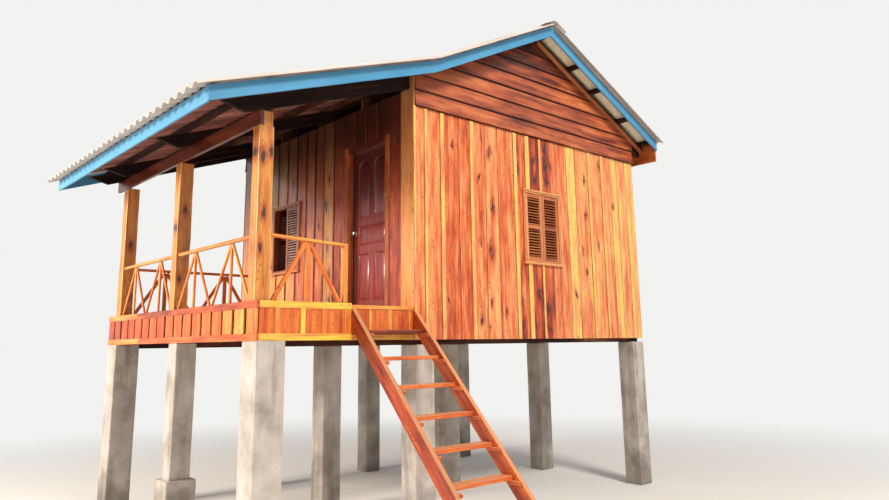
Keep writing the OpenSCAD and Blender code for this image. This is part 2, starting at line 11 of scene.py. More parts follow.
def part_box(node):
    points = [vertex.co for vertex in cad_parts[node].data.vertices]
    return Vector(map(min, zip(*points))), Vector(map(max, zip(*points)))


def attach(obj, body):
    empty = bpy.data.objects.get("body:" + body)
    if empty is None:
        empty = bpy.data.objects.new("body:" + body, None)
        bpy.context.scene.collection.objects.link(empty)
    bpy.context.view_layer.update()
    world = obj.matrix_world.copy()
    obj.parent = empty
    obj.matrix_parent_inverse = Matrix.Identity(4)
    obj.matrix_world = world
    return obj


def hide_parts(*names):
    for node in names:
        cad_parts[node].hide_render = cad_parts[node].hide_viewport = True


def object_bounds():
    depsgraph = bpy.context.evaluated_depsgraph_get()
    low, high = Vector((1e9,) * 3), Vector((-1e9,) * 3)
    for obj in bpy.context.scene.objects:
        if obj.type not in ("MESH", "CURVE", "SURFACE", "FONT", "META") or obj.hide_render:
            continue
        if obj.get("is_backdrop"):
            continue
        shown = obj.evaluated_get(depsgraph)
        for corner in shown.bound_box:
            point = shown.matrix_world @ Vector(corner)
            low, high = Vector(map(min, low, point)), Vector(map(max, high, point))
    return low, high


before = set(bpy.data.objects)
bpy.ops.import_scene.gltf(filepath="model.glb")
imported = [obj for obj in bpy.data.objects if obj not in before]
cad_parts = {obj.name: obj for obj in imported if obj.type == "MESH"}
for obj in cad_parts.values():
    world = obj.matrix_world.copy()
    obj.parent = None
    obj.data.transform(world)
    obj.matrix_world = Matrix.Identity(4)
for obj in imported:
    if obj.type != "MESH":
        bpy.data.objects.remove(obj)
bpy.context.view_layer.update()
rng = np.random.default_rng(11)
scene = bpy.context.scene

# House measures in metres: x runs back from the front wall's face, y along the ridge from the
# near gable's face, z up from the foot of the walls.
wall_low, wall_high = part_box("gable_walls")
WIDTH, LENGTH = wall_high.x - wall_low.x, wall_high.y - wall_low.y
GROUND = wall_low.z
PORCH, DECK, WALL_TOP = 1.9, 0.356, 2.675
PORCH_EAVE, KINK, APEX, BACK_EAVE = (-2.583, 2.077), (0.089, 3.012), (2.2, 4.069), (4.69, 2.875)
PORCH_SLOPE, FRONT_SLOPE, BACK_SLOPE = (PORCH_EAVE, KINK), (KINK, APEX), (APEX, BACK_EAVE)
RIDGE, VERGE, BARGE, SHEET_OUT, WAVES, SHEET_LAP = 2.2, 0.292, 0.145, 0.086, 28, 0.12
WAVE = (LENGTH + 2 * (VERGE + SHEET_OUT)) / WAVES
DROP, BACK_DROP, RAFTER_UP, LAP_OUT = 0.088, 0.06, 0.07, 0.03
BOARD, FLOOR, STUD, BEARER = 0.025, 0.028, 0.09, 0.052
SKIRT, SLATS, RAIL = 0.373, (0.06, 0.312), 1.01
DOOR_NEAR, DOOR_FAR, DOOR_TOP, DOOR_SIDE = 0.555, 1.332, 2.363, 0.08
WINDOW_X, WINDOW_Y, WINDOW_Z = (1.835, 2.541), (2.498, 3.204), (0.978, 1.909)
GABLE_HOLE, FRONT_HOLE = WINDOW_X + WINDOW_Z, WINDOW_Y + WINDOW_Z
LADDER, LADDER_TOP, LADDER_RUN, STRINGER, TREADS = (-0.842, 0.022), 0.325, 2.22, 0.05, 8
PITCH = (LADDER_TOP + GROUND) / LADDER_RUN
ROWS, LINES = (0.13, 1.95, 3.885), (-1.75, 0.1325, 2.2, 4.2655)


def spot(x, y, z):
    """A point in the row frame from house measures."""
    return Vector((wall_low.x + x, wall_low.y + y, wall_low.z + z))


def line_z(x, a, b):
    """Height at x of the straight line through the (x, z) points a and b."""
    return a[1] + (x - a[0]) * (b[1] - a[1]) / (b[0] - a[0])


def roof_z(x):
    """Height of the barge boards' lower edge at x."""
    return line_z(x, *(PORCH_SLOPE if x < KINK[0] else FRONT_SLOPE if x < RIDGE else BACK_SLOPE))


def tilt_of(a, b):
    """Angle of the slope from (x, z) point a to b."""
    return math.atan2(b[1] - a[1], b[0] - a[0])


def slope_ways(a, b):
    """Directions along the slope from (x, z) point a to b, and square up from it."""
    way = Vector((b[0] - a[0], 0.0, b[1] - a[1])).normalized()
    return way, Vector((-way.z, 0.0, way.x))


# Finishes

MATH, VECT, NOISE, CELLS, SPLIT, COORD, RANGE, RAMP, MIX, BUMP, ATTR = (
    "ShaderNode" + kind
    for kind in (
        "Math", "VectorMath", "TexNoise", "TexVoronoi", "SeparateXYZ", "TexCoord", "MapRange", "ValToRGB", "Mix",
        "Bump", "Attribute",
    )
)
SMOOTH = {"interpolation_type": "SMOOTHSTEP"}
KNOTS = ("knot_a", "knot_b", "knot_c", "knot_d", "knot_e")
NO_KNOT = (9.0, 9.0, 0.01)


def ink(text):
    """A six-figure sRGB hex colour as linear RGBA."""
    parts = [int(text[i : i + 2], 16) / 255 for i in (0, 2, 4)]
    return [c / 12.92 if c <= 0.04045 else ((c + 0.055) / 1.055) ** 2.4 for c in parts] + [1.0]


def add(tree, kind, inputs=(), out=0, stops=(), **settings):
    """Adds a node with its settings, inputs and colour stops, and gives back one output, or all for None."""
    made = tree.nodes.new(kind)
    for key, value in settings.items():
        setattr(made, key, value)
    for key, value in inputs.items() if isinstance(inputs, dict) else enumerate(inputs):
        if isinstance(value, bpy.types.NodeSocket):
            tree.links.new(value, made.inputs[key])
        elif value is not None:
            made.inputs[key].default_value = value
    if stops:
        bar = made.color_ramp.elements
        while len(bar) < len(stops):
            bar.new(0.5)
        for mark, (place, colour) in zip(bar, stops):
            mark.position = place
            mark.color = ink(colour)
    if out is None or not made.outputs:
        return made.outputs
    return made.outputs[out]


def new_finish(name, **fixed):
    """A material with one shader whose even values are set; gives back its tree and shader too."""
    made = bpy.data.materials.new(name)
    made.use_nodes = True
    shader = made.node_tree.nodes["Principled BSDF"]
    for key, value in fixed.items():
        shader.inputs[key.replace("_", " ")].default_value = value
    return made, made.node_tree, shader


def per_metre(*sizes):
    """How often marks of these sizes in millimetres, one for each axis, come in a metre."""
    return tuple(1000 / size for size in sizes)


def coat_over(t, shader, colour, stains, height, strength, depth):
    """Lays stains, each a (mask, hex colour, blend), over a colour, and relief over the surface."""
    for mask, stain, blend in stains:
        colour = add(t, MIX, {0: mask, 6: colour, 7: ink(stain)}, 2, data_type="RGBA", blend_type=blend)
    t.links.new(colour, shader.inputs["Base Color"])
    lift = add(t, BUMP, {"Height": height, "Strength": strength, "Distance": depth}, "Normal")
    t.links.new(lift, shader.inputs["Normal"])


def plank_finish(
    name, tones, streak, knot, rough, coat, figure=1.0, lap_shade=0.0, arris=(None, 0.006, 0.7), bleach_and_highlight=0.0,
    fibre=1.0, roof_shade=0.0, patch=(75, 320, 4.0), tear=0.1,
):
    """Sawn hardwood under brushed varnish: satin streaks along the grain, darker heart, black knots.

    The boards' own attributes carry the pattern: local is the place within a board in metres,
    with the grain along its last axis, piece is a chance number and tone the board's shade.
    figure is how strongly light and dark grain differ, and fibre how strongly the fine streaks
    show. lap_shade is how much of a lapped board lies under the next one, where it is painted
    nearly black as painted shade, and arris the colour, width and strength of what lies along the
    edges: grime, or pale sapwood. bleach_and_highlight is how far the faces that look up are paled,
    partly by sun and dust and partly as a painted highlight, and roof_shade how far the boards are
    darkened up under the porch roof as painted shade. patch is the width, length and raggedness of
    the patches of painted sheen, and tear how far the knots are torn.
    """
    made, t, shader = new_finish(
        name, IOR=1.5, Specular_IOR_Level=0.5 if coat else 0.2, Coat_Weight=coat, Coat_Roughness=0.12
    )
    local, size, shift = (add(t, ATTR, out="Vector", attribute_name=key) for key in ("local", "size", "shift"))
    piece, tone = (add(t, ATTR, out="Fac", attribute_name=key) for key in ("piece", "tone"))
    inner = add(t, VECT, (local, shift), operation="SUBTRACT")
    own = add(t, VECT, (piece, (37.0, 11.0, 53.0), local), operation="MULTIPLY_ADD")
    # the grain wanders 15 mm sideways in waves of about 500 mm
    bend = add(t, VECT, (own, (3.0, 3.0, 2.0)), operation="MULTIPLY")
    bend = add(t, NOISE, {"Vector": bend, "Scale": 1.0, "Detail": 1.0})
    bend = add(t, MATH, (bend, 0.03, -0.015), operation="MULTIPLY_ADD")
    own = add(t, VECT, (bend, (1.0, 0.0, 0.0), own), operation="MULTIPLY_ADD")
    # heart and sapwood 60 mm wide, streaks of 16 mm, fibres of 4 mm, patches of painted sheen, checks of 8 mm
    grain = []
    for wide, long, detail in ((60, 1500, 2.0), (16, 600, 4.0), (4, 140, 3.0), patch, (8, 260, 3.0)):
        place = add(t, VECT, (own, per_metre(wide, wide, long)), operation="MULTIPLY")
        grain.append(add(t, NOISE, {"Vector": place, "Scale": 1.0, "Detail": detail, "Roughness": 0.6}))
    bands, streaks, fibres, sheen, checks = grain
    shade = add(t, MATH, (bands, 0.8 * figure, -0.8 * figure), operation="MULTIPLY_ADD")
    # broad patches of paler and redder tone: painted sheen
    shade = add(t, MATH, (sheen, 0.8 * figure, shade), operation="MULTIPLY_ADD")
    colour = add(t, RAMP, (add(t, MATH, (shade, tone), operation="ADD"),), stops=tones)
    stains = [
        (add(t, RANGE, (value, low, high, 0.0, most * fibre)), streak, "MULTIPLY")
        for value, low, high, most in ((streaks, 0.5, 0.7, 0.6), (fibres, 0.4, 0.8, 0.3))
    ]
    # thin checks where the heart is darkest, and worm holes and pin knots about 12 mm across, in groups
    place = add(t, VECT, (own, per_metre(38, 38, 62)), operation="MULTIPLY")
    pins = add(t, CELLS, {"Vector": place, "Scale": 1.0}, "Distance")
    for mark, where in (
        ((checks, 0.6, 0.7, 0.0, 0.8), (sheen, 0.56, 0.46, 0.0, 1.0)),
        ((pins, 0.12, 0.24, 0.75, 0.0), (bands, 0.5, 0.58, 0.0, 1.0)),
    ):
        mask = add(t, MATH, (add(t, RANGE, mark), add(t, RANGE, where)), operation="MULTIPLY")
        stains.append((mask, knot, "MIX"))
    # up to five knots a board, each (across, along, radius), drawn out along the grain and torn
    ragged = add(t, VECT, (own, (62.0, 62.0, 15.0)), operation="MULTIPLY")
    ragged = add(t, NOISE, {"Vector": ragged, "Scale": 1.0, "Detail": 5.0, "Roughness": 0.7})
    torn = add(t, VECT, (own, (24.0, 24.0, 8.0)), operation="MULTIPLY")
    torn = add(t, NOISE, {"Vector": torn, "Scale": 1.0, "Detail": 3.0}, "Color")
    torn = add(t, VECT, (torn, (tear, 0.0, tear), (-tear / 2, 0.0, -tear / 2)), operation="MULTIPLY_ADD")
    flat = add(t, VECT, (local, (1.0, 0.0, 0.4), torn), operation="MULTIPLY_ADD")
    for key in KNOTS:
        mark = add(t, ATTR, out="Vector", attribute_name=key)
        _, along, radius = add(t, SPLIT, (mark,), None)
        heart = add(t, VECT, (mark, (1.0, 0.0, 0.0)), operation="MULTIPLY")
        heart = add(t, VECT, (along, (0.0, 0.0, 0.4), heart), operation="MULTIPLY_ADD")
        away = add(t, VECT, (flat, heart), "Value", operation="DISTANCE")
        away = add(t, MATH, (away, radius), operation="DIVIDE")
        away = add(t, MATH, (away, 20 * tear), operation="SUBTRACT")
        away = add(t, MATH, (ragged, 40 * tear, away), operation="MULTIPLY_ADD")
        stains.append((add(t, RANGE, (away, 0.5, 1.7, 0.7, 0.0), **SMOOTH), streak, "MULTIPLY"))
        stains.append((add(t, RANGE, (away, 0.35, 0.75, 0.95, 0.0), **SMOOTH), knot, "MIX"))
    # dirt in the joints, or sapwood, in from each arris
    tint, wide, most = arris
    margin = add(t, VECT, (size, (0.5, 0.5, 0.5)), operation="MULTIPLY")
    margin = add(t, VECT, (margin, add(t, VECT, (inner,), operation="ABSOLUTE")), operation="SUBTRACT")
    margin = add(t, MATH, tuple(add(t, SPLIT, (margin,), None))[:2], operation="MAXIMUM")
    margin = add(t, MATH, (margin, wide), operation="SUBTRACT")
    margin = add(t, MATH, (checks, 2 * wide, margin), operation="MULTIPLY_ADD")
    dirt_and_lap_shade = add(t, RANGE, (margin, 0.0, wide, most, 0.0), **SMOOTH)
    # painted shade of the lap: where a board lies under the next one it is painted nearly black
    if lap_shade:
        under = add(t, VECT, (inner, (-1, -1, -1)), operation="MULTIPLY")
        under = add(t, VECT, (size, (0.5, 0.5, 0.5), under), operation="MULTIPLY_ADD")
        under = add(t, RANGE, (add(t, SPLIT, (under,)), lap_shade, lap_shade + 0.022, 0.97, 0.0), **SMOOTH)
        dirt_and_lap_shade = add(t, MATH, (dirt_and_lap_shade, under), operation="MAXIMUM")
    stains.append((dirt_and_lap_shade, tint or knot, "MIX"))
    # faces that look up are paled, partly by sun and dust and partly as a painted highlight
    if bleach_and_highlight:
        up = add(t, SPLIT, (add(t, "ShaderNodeNewGeometry", out="Normal"),), 2)
        stains.append((add(t, RANGE, (up, 0.2, 0.6, 0.0, bleach_and_highlight), **SMOOTH), "EEB47C", "MIX"))
    # painted shade of the porch roof: the boards darken towards their tops
    if roof_shade:
        up = add(t, SPLIT, (add(t, COORD, out="Object"),), 2)
        up = add(t, MATH, (bands, 0.7, up), operation="MULTIPLY_ADD")
        mask = add(t, RANGE, (up, GROUND + DECK + 1.55, GROUND + DECK + 2.75, 0.0, roof_shade), **SMOOTH)
        stains.append((mask, "140A08", "MIX"))
    gloss = add(t, MATH, (streaks, 0.3, rough - 0.15), operation="MULTIPLY_ADD")
    t.links.new(gloss, shader.inputs["Roughness"])
    height = add(t, MATH, (fibres, 0.5, streaks), operation="MULTIPLY_ADD")
    coat_over(t, shader, colour, stains, height, 0.35, 0.002)
    return made


# Varnished mixed hardwood: red heartwood and yellow sapwood boards side by side, satin
gable_wood = plank_finish(
    "satin_varnished_hardwood",
    [(0.0, "641E10"), (0.2, "B04018"), (0.42, "DA6A32"), (0.66, "EE9860"), (0.84, "F2B26A"), (1.0, "F6CC68")],
    "B04C1A", "26120E", 0.5, 0.15, figure=1.2, arris=(None, 0.007, 0.8), fibre=0.85, patch=(75, 420, 2.0),
)
# Lapped gable boards of the same wood, browner, darker under the roof (partly damp stains, partly painted shade of
# the overhang), and painted nearly black where each lies under the next as painted shade
lap_wood = plank_finish(
    "weathered_varnished_lapped_boards",
    [(0.0, "24100A"), (0.25, "6C2A16"), (0.5, "AE522C"), (0.75, "D07844"), (1.0, "E09860")],
    "8A4420", "1A0D0A", 0.5, 0.1, figure=1.1, lap_shade=0.032, fibre=0.6, patch=(150, 620, 2.0),
)
# The same boards out of the weather under the porch roof, browner and glossier, darkened towards the roof as painted
# shade
porch_wood = plank_finish(
    "gloss_varnished_hardwood",
    [(0.0, "44140A"), (0.25, "A0341C"), (0.5, "D2643C"), (0.75, "EC965C"), (1.0, "F8B466")],
    "8E341A", "1A0D0A", 0.36, 0.5, roof_shade=0.9,
)
# Wider, paler boards that cover the corner of the porch, darkened towards the roof as painted shade
corner_wood = plank_finish(
    "varnished_pale_corner_board",
    [(0.0, "9A3E16"), (0.4, "D87032"), (0.7, "F29A52"), (1.0, "F8B470")],
    "B8561E", "2A140C", 0.46, 0.12, figure=0.9, arris=(None, 0.006, 0.6), fibre=0.8, roof_shade=0.5,
)
# Natural-edged posts of a yellow wood with dark knots and pale sapwood arrises
post_wood = plank_finish(
    "varnished_knotty_yellow_wood",
    [(0.0, "8A4A1A"), (0.35, "CC7E30"), (0.7, "E8A44C"), (1.0, "F4C878")],
    "B8621E", "2E160E", 0.42, 0.3, arris=("F2CE84", 0.014, 0.7), tear=0.035,
)
# Skirts and railings: bright orange varnish, with yellow sapwood rails
trim_wood = plank_finish(
    "orange_varnished_hardwood",
    [(0.0, "82300C"), (0.25, "C65214"), (0.5, "E47C2C"), (0.75, "EEA64C"), (1.0, "F8CC4A")],
    "C85A20", "2E120C", 0.42, 0.25, arris=(None, 0.004, 0.6),
)
# Ladder boards of the same varnish, redder, paler on the faces that look up: partly trodden wear and sun, partly a
# painted highlight
ladder_wood = plank_finish(
    "worn_orange_varnished_ladder_board",
    [(0.0, "701E0A"), (0.25, "B0441A"), (0.5, "DA6A2C"), (0.75, "E88C4A"), (1.0, "F2AC68")],
    "B04A1C", "2E120C", 0.46, 0.1, arris=(None, 0.004, 0.6), bleach_and_highlight=0.5, fibre=0.7,
)
# Framing timber brushed with one thin coat: rough-sawn, dull, red-brown going to black
frame_wood = plank_finish(
    "thinly_stained_rough_sawn_timber",
    [(0.0, "1C0F0C"), (0.35, "3E2118"), (0.7, "6A3C28"), (1.0, "A8784C")],
    "5A3424", "120A08", 0.75, 0.0, figure=1.3,
)
# Floor boards walked on bare: dusty brown, dull, the varnish worn off
floor_wood = plank_finish(
    "worn_varnished_floor_board",
    [(0.0, "4A2818"), (0.5, "8E5634"), (1.0, "B88654")],
    "6E4026", "1E100A", 0.6, 0.1,
)
# Joinery in red hardwood under thick varnish, smooth and even
frame_gloss = plank_finish(
    "thick_varnished_red_hardwood",
    [(0.0, "3E140C"), (0.4, "94401E"), (0.7, "CC7038"), (1.0, "E6A05C")],
    "8A3A1C", "1E0E0A", 0.34, 0.4, figure=0.7, arris=(None, 0.003, 0.5),
)
# Thin louvre slats of a pinkish wood under gloss varnish; their pale colour is a painted reflection of the sky
slats_with_painted_sky_sheen = plank_finish(
    "gloss_varnished_slats_with_painted_sky_sheen",
    [(0.0, "D0A094"), (0.5, "F2D2C6"), (1.0, "FCEAE2")],
    "B88878", "4A2A22", 0.3, 1.0, figure=0.4, arris=(None, 0.001, 0.3),
)


def pier_concrete():
    """Site-cast concrete: pale cement skin with cloudy tones, 6 mm air holes and damp runs."""
    made, t, shader = new_finish("site_cast_concrete", Roughness=0.88)
    place = add(t, COORD, out="Object")
    cloud = add(t, NOISE, {"Vector": place, "Scale": 2.6, "Detail": 6.0, "Roughness": 0.62})
    colour = add(t, RAMP, (cloud,), stops=[(0.3, "958B82"), (0.5, "B8AFA6"), (0.72, "D2CAC2")])
    runs = add(t, VECT, (place, (*per_metre(110, 110), 0.9)), operation="MULTIPLY")
    runs = add(t, NOISE, {"Vector": runs, "Scale": 1.0, "Detail": 4.0, "Roughness": 0.6})
    runs = add(t, RANGE, (runs, 0.5, 0.72, 0.0, 0.5))
    damp = add(t, MATH, (add(t, SPLIT, (place,), 2), 0.8, cloud), operation="MULTIPLY_ADD")
    damp = add(t, RANGE, (damp, 0.45, 1.1, 0.6, 0.0), **SMOOTH)
    holes = add(t, CELLS, {"Vector": place, "Scale": 1000 / 30}, "Distance")
    holes = add(t, RANGE, (holes, 0.06, 0.16, 0.0, 0.6))
    grit = add(t, NOISE, {"Vector": place, "Scale": 1000 / 6, "Detail": 2.0})
    relief = add(t, MATH, (grit, 0.3, holes), operation="MULTIPLY_ADD")
    relief = add(t, MATH, (cloud, 1.6, relief), operation="MULTIPLY_ADD")
    stains = [(runs, "8A7E76", "MULTIPLY"), (damp, "6A6058", "MIX")]
    coat_over(t, shader, colour, stains, relief, 0.5, 0.004)
    return made


def blue_paint():
    """Brushed gloss paint on board: sky blue, thinner at knots and edges, with 4 mm brush lines."""
    made, t, shader = new_finish("brushed_gloss_paint_on_board", Roughness=0.36)
    local = add(t, ATTR, out="Vector", attribute_name="local")
    tone = add(t, ATTR, out="Fac", attribute_name="tone")
    tone = add(t, MATH, (tone, 0.25), operation="SUBTRACT")
    shade = add(t, VECT, (local, per_metre(140, 140, 600)), operation="MULTIPLY")
    shade = add(t, NOISE, {"Vector": shade, "Scale": 1.0, "Detail": 4.0})
    shade = add(t, MATH, (shade, 0.5, tone), operation="MULTIPLY_ADD")
    colour = add(t, RAMP, (shade,), stops=[(0.1, "2C6E98"), (0.5, "4890BA"), (0.9, "68AACE")])
    worn = add(t, VECT, (local, per_metre(25, 25, 70)), operation="MULTIPLY")
    worn = add(t, NOISE, {"Vector": worn, "Scale": 1.0, "Detail": 6.0, "Roughness": 0.7})
    worn = add(t, RANGE, (worn, 0.6, 0.7, 0.0, 0.55))
    brush = add(t, VECT, (local, per_metre(4, 4, 200)), operation="MULTIPLY")
    brush = add(t, NOISE, {"Vector": brush, "Scale": 1.0, "Detail": 3.0})
    coat_over(t, shader, colour, [(worn, "2A5878", "MIX")], brush, 0.3, 0.001)
    return made


def fibre_cement(name, tones, stain):
    """Pressed fibre cement sheet: dull and chalky, stained in long runs down the slope."""
    made, t, shader = new_finish(name, Roughness=0.82)
    place = add(t, COORD, out="Object")
    runs = add(t, VECT, (place, per_metre(1250, 140, 1250)), operation="MULTIPLY")
    runs = add(t, NOISE, {"Vector": runs, "Scale": 1.0, "Detail": 5.0})
    colour = add(t, RAMP, (runs,), stops=tones)
    mottle = add(t, NOISE, {"Vector": place, "Scale": 1000 / 45, "Detail": 6.0, "Roughness": 0.65})
    mottle = add(t, RANGE, (mottle, 0.48, 0.75, 0.0, 0.5))
    grit = add(t, NOISE, {"Vector": place, "Scale": 1000 / 5, "Detail": 2.0})
    coat_over(t, shader, colour, [(mottle, stain, "MIX")], grit, 0.25, 0.001)
    return made


def satin_steel():
    """Turned steel door furniture: satin, with faint scuffs 2.5 mm across."""
    made, t, shader = new_finish("satin_turned_steel", Metallic=1.0)
    scuff = {"Vector": add(t, COORD, out="Object"), "Scale": 1000 / 2.5, "Detail": 2.0}
    scuff = add(t, NOISE, scuff)
    colour = add(t, RAMP, (scuff,), stops=[(0.3, "B4B4B6"), (0.7, "D4D4D6")])
    t.links.new(colour, shader.inputs["Base Color"])
    t.links.new(add(t, RANGE, (scuff, 0.3, 0.7, 0.22, 0.36)), shader.inputs["Roughness"])
    return made


def door_varnish():
    """Dark red hardwood joinery under thick varnish: near mirror gloss over 20 mm grain bands.

    The stile at the lock and the upper part of the leaf are darkened: painted shade of the door's reveal and of the
    porch roof.
    """
    made, t, shader = new_finish(
        "gloss_lacquered_dark_hardwood", Roughness=0.34, Coat_Weight=0.75, Coat_Roughness=0.22
    )
    place = add(t, COORD, out="Object")
    band = add(t, VECT, (place, per_metre(20, 20, 450)), operation="MULTIPLY")
    band = add(t, NOISE, {"Vector": band, "Scale": 1.0, "Detail": 4.0, "Roughness": 0.6, "Distortion": 0.4})
    colour = add(t, RAMP, (band,), stops=[(0.3, "5E100A"), (0.55, "A22C1E"), (0.8, "D04834")])
    fibre = add(t, VECT, (place, per_metre(4, 4, 110)), operation="MULTIPLY")
    fibre = add(t, NOISE, {"Vector": fibre, "Scale": 1.0, "Detail": 3.0})
    fibre = add(t, RANGE, (fibre, 0.3, 0.8, 0.0, 0.4))
    _, across, up = add(t, SPLIT, (place,), None)
    lock = spot(0.0, DOOR_FAR - 0.108, 0.0)[1]
    # painted shade: the stile by the reveal, and the leaf towards its head under the porch roof, are darkened
    stile = add(t, RANGE, (across, lock, lock + 0.004, 0.0, 0.75))
    head = add(t, MATH, (band, 0.5, up), operation="MULTIPLY_ADD")
    head = add(t, RANGE, (head, GROUND + DECK + 1.1, GROUND + DECK + 2.2, 0.0, 0.75), **SMOOTH)
    dark = add(t, MATH, (stile, head), operation="MAXIMUM")
    coat_over(t, shader, colour, [(fibre, "260A07", "MIX"), (dark, "1C0806", "MIX")], band, 0.12, 0.001)
    return made


concrete, paint, steel, door_gloss = pier_concrete(), blue_paint(), satin_steel(), door_varnish()
# Rain and sun pale the upper side; the underside is beige, painted paler still as painted light where it lies in
# shade, and over the porch it is dark red-brown
sheeting, beige_underside_with_painted_light, dark_red_brown_underside = (
    fibre_cement(name, list(zip((0.3, 0.55, 0.75), tones)), stain)
    for name, tones, stain in (
        ("weathered_fibre_cement_sheet", ("BBAEA2", "D2C6BC", "E0D6CE"), "9C8E82"),
        ("beige_underside_of_fibre_cement_sheet", ("E8D4AC", "FAEAC8", "FCF2DC"), "B49A74"),
        ("dark_red_brown_underside_of_fibre_cement_sheet", ("603A32", "9C665C", "C48C7E"), "3A221C"),
    )
)


# Boards: every stick is a mark that Geometry Nodes turn into a sawn board


def new_tree(name, result, sockets):
    """An empty Geometry Nodes tree with named inputs and result, and its input node's outputs."""
    tree = bpy.data.node_groups.new(name, "GeometryNodeTree")
    for label, kind in sockets.items():
        tree.interface.new_socket(label, in_out="INPUT", socket_type="NodeSocket" + kind)
    tree.interface.new_socket(result, in_out="OUTPUT", socket_type="NodeSocketGeometry")
    return tree, add(tree, "NodeGroupInput", out=None)


def board_tree():
    """Geometry Nodes that stand a sawn board on each mark and let its edges wander."""
    tree, given = new_tree("sawn_boards", "Boards", {
        "Marks": "Geometry", "Segments": "Int", "Wander": "Float", "Wander length": "Float", "Finish": "Material",
    })
    size, turn, shift, unit = (
        add(tree, "GeometryNodeInputNamedAttribute", {"Name": key}, data_type="FLOAT_VECTOR")
        for key in ("size", "turn", "shift", "unit")
    )
    piece = add(tree, "GeometryNodeInputNamedAttribute", {"Name": "piece"}, data_type="FLOAT")
    blank = {"Size": (1, 1, 1), "Vertices X": 2, "Vertices Y": 2, "Vertices Z": given["Segments"]}
    blank = add(tree, "GeometryNodeMeshCube", blank)
    blank = {"Geometry": blank, "Name": "unit", "Value": add(tree, "GeometryNodeInputPosition")}
    blank = add(tree, "GeometryNodeStoreNamedAttribute", blank, data_type="FLOAT_VECTOR")
    turn = add(tree, "FunctionNodeEulerToRotation", (turn,))
    made = {"Points": given["Marks"], "Instance": blank, "Rotation": turn, "Scale": size}
    made = add(tree, "GeometryNodeRealizeInstances", (add(tree, "GeometryNodeInstanceOnPoints", made),))
    local = add(tree, VECT, (unit, size, shift), operation="MULTIPLY_ADD")
    made = {"Geometry": made, "Name": "local", "Value": local}
    made = add(tree, "GeometryNodeStoreNamedAttribute", made, data_type="FLOAT_VECTOR")
    place = add(tree, VECT, (piece, (31.0, 17.0, 43.0), local), operation="MULTIPLY_ADD")
    place = add(tree, VECT, (place, (9.0, 9.0, 1.0)), operation="MULTIPLY")
    rate = add(tree, MATH, (1.0, given["Wander length"]), operation="DIVIDE")
    wave = add(tree, NOISE, {"Vector": place, "Scale": rate, "Detail": 2.0}, "Color")
    wave = add(tree, VECT, (wave, (0.5, 0.5, 0.5)), operation="SUBTRACT")
    wave = add(tree, VECT, (wave, (4.0, 1.5, 0.0)), operation="MULTIPLY")
    wave = add(tree, VECT, {0: wave, "Scale": given["Wander"]}, operation="SCALE")
    wave = add(tree, "FunctionNodeRotateVector", (wave, turn))
    made = add(tree, "GeometryNodeSetPosition", {"Geometry": made, "Offset": wave})
    made = add(tree, "GeometryNodeSetMaterial", {"Geometry": made, "Material": given["Finish"]})
    add(tree, "NodeGroupOutput", (made,))
    return tree


sawn_boards = board_tree()


class Boards:
    """A set of sticks that becomes one piece."""

    def __init__(self):
        self.rows, self.cuts = [], []

    def lay(self, start, end, face, width, thick, tone=0.5, piece=None, shift=(0, 0, 0), knots=(), cuts=()):
        """A straight stick from start to end; face is the way its broad side looks.

        Each cut is a (point, way) plane beyond which the stick is sawn off.
        """
        a, b = Vector(start), Vector(end)
        along = (b - a).normalized()
        out = (Vector(face) - along * along.dot(Vector(face))).normalized()
        spots = list(knots) + [NO_KNOT] * (len(KNOTS) - len(knots))
        self.cuts += [(len(self.rows), *cut) for cut in cuts]
        self.rows.append({
            "centre": spot(*((a + b) / 2)), "size": (width, thick, (b - a).length),
            "turn": tuple(Matrix((out.cross(along), out, along)).transposed().to_euler()),
            "piece": rng.random() if piece is None else piece, "tone": tone, "shift": shift,
            "stick": len(self.rows), **dict(zip(KNOTS, spots)),
        })

    def block(self, x0, x1, y0, y1, z0, z1, along="z", tone=0.5):
        """A stick between six planes, with its grain along one axis."""
        low, high = (x0, y0, z0), (x1, y1, z1)
        mid, span = [(p + q) / 2 for p, q in zip(low, high)], [q - p for p, q in zip(low, high)]
        k = "xyz".index(along)
        start, end, face = list(mid), list(mid), [0.0, 0.0, 0.0]
        start[k], end[k] = low[k], high[k]
        thin, wide = sorted((i for i in range(3) if i != k), key=lambda i: span[i])
        face[thin] = 1.0 if thin == 2 else -1.0
        self.lay(start, end, face, span[wide], span[thin], tone)

    def slanted(self, slope, y, lift, over, out, deep, thick, tone, cuts):
        """A stick along a roof slope, sawn off by cuts.

        lift is how far its middle is above the barge boards' lower edge, and over how far it
        runs past the slope's ends before it is cut.
        """
        way = slope_ways(*slope)[0]
        low, high = (Vector((x, y, z + lift)) for x, z in slope)
        self.lay(low - way * over, high + way * over, (0, out, 0), deep * way.x, thick, tone, cuts=cuts)


def between(x0, x1):
    """The two plumb cuts that leave a stick from x0 to x1."""
    return [((x0, 0, 0), (-1, 0, 0)), ((x1, 0, 0), (1, 0, 0))]


def trim(mesh, cuts):
    """Saws sticks off at planes and closes the cuts; stick None means every stick."""
    work = bmesh.new()
    work.from_mesh(mesh)
    mark = work.verts.layers.float["stick"]
    for stick, point, away in cuts:
        faces = [f for f in work.faces if stick is None or round(f.verts[0][mark]) == stick]
        # each corner and edge once, always in the same order, so that every run gives the same mesh
        parts = list(dict.fromkeys([v for f in faces for v in f.verts] + [e for f in faces for e in f.edges])) + faces
        bmesh.ops.bisect_plane(work, geom=parts, plane_co=spot(*point), plane_no=Vector(away), clear_outer=True)
        bmesh.ops.holes_fill(work, edges=[e for e in work.edges if e.is_boundary], sides=0)
    bmesh.ops.recalc_face_normals(work, faces=work.faces[:])
    work.to_mesh(mesh)
    work.free()


def placed(name, data):
    """A new object in the scene that shows a mesh, or holds a lamp or a camera."""
    made = bpy.data.objects.new(name, data)
    scene.collection.objects.link(made)
    return made


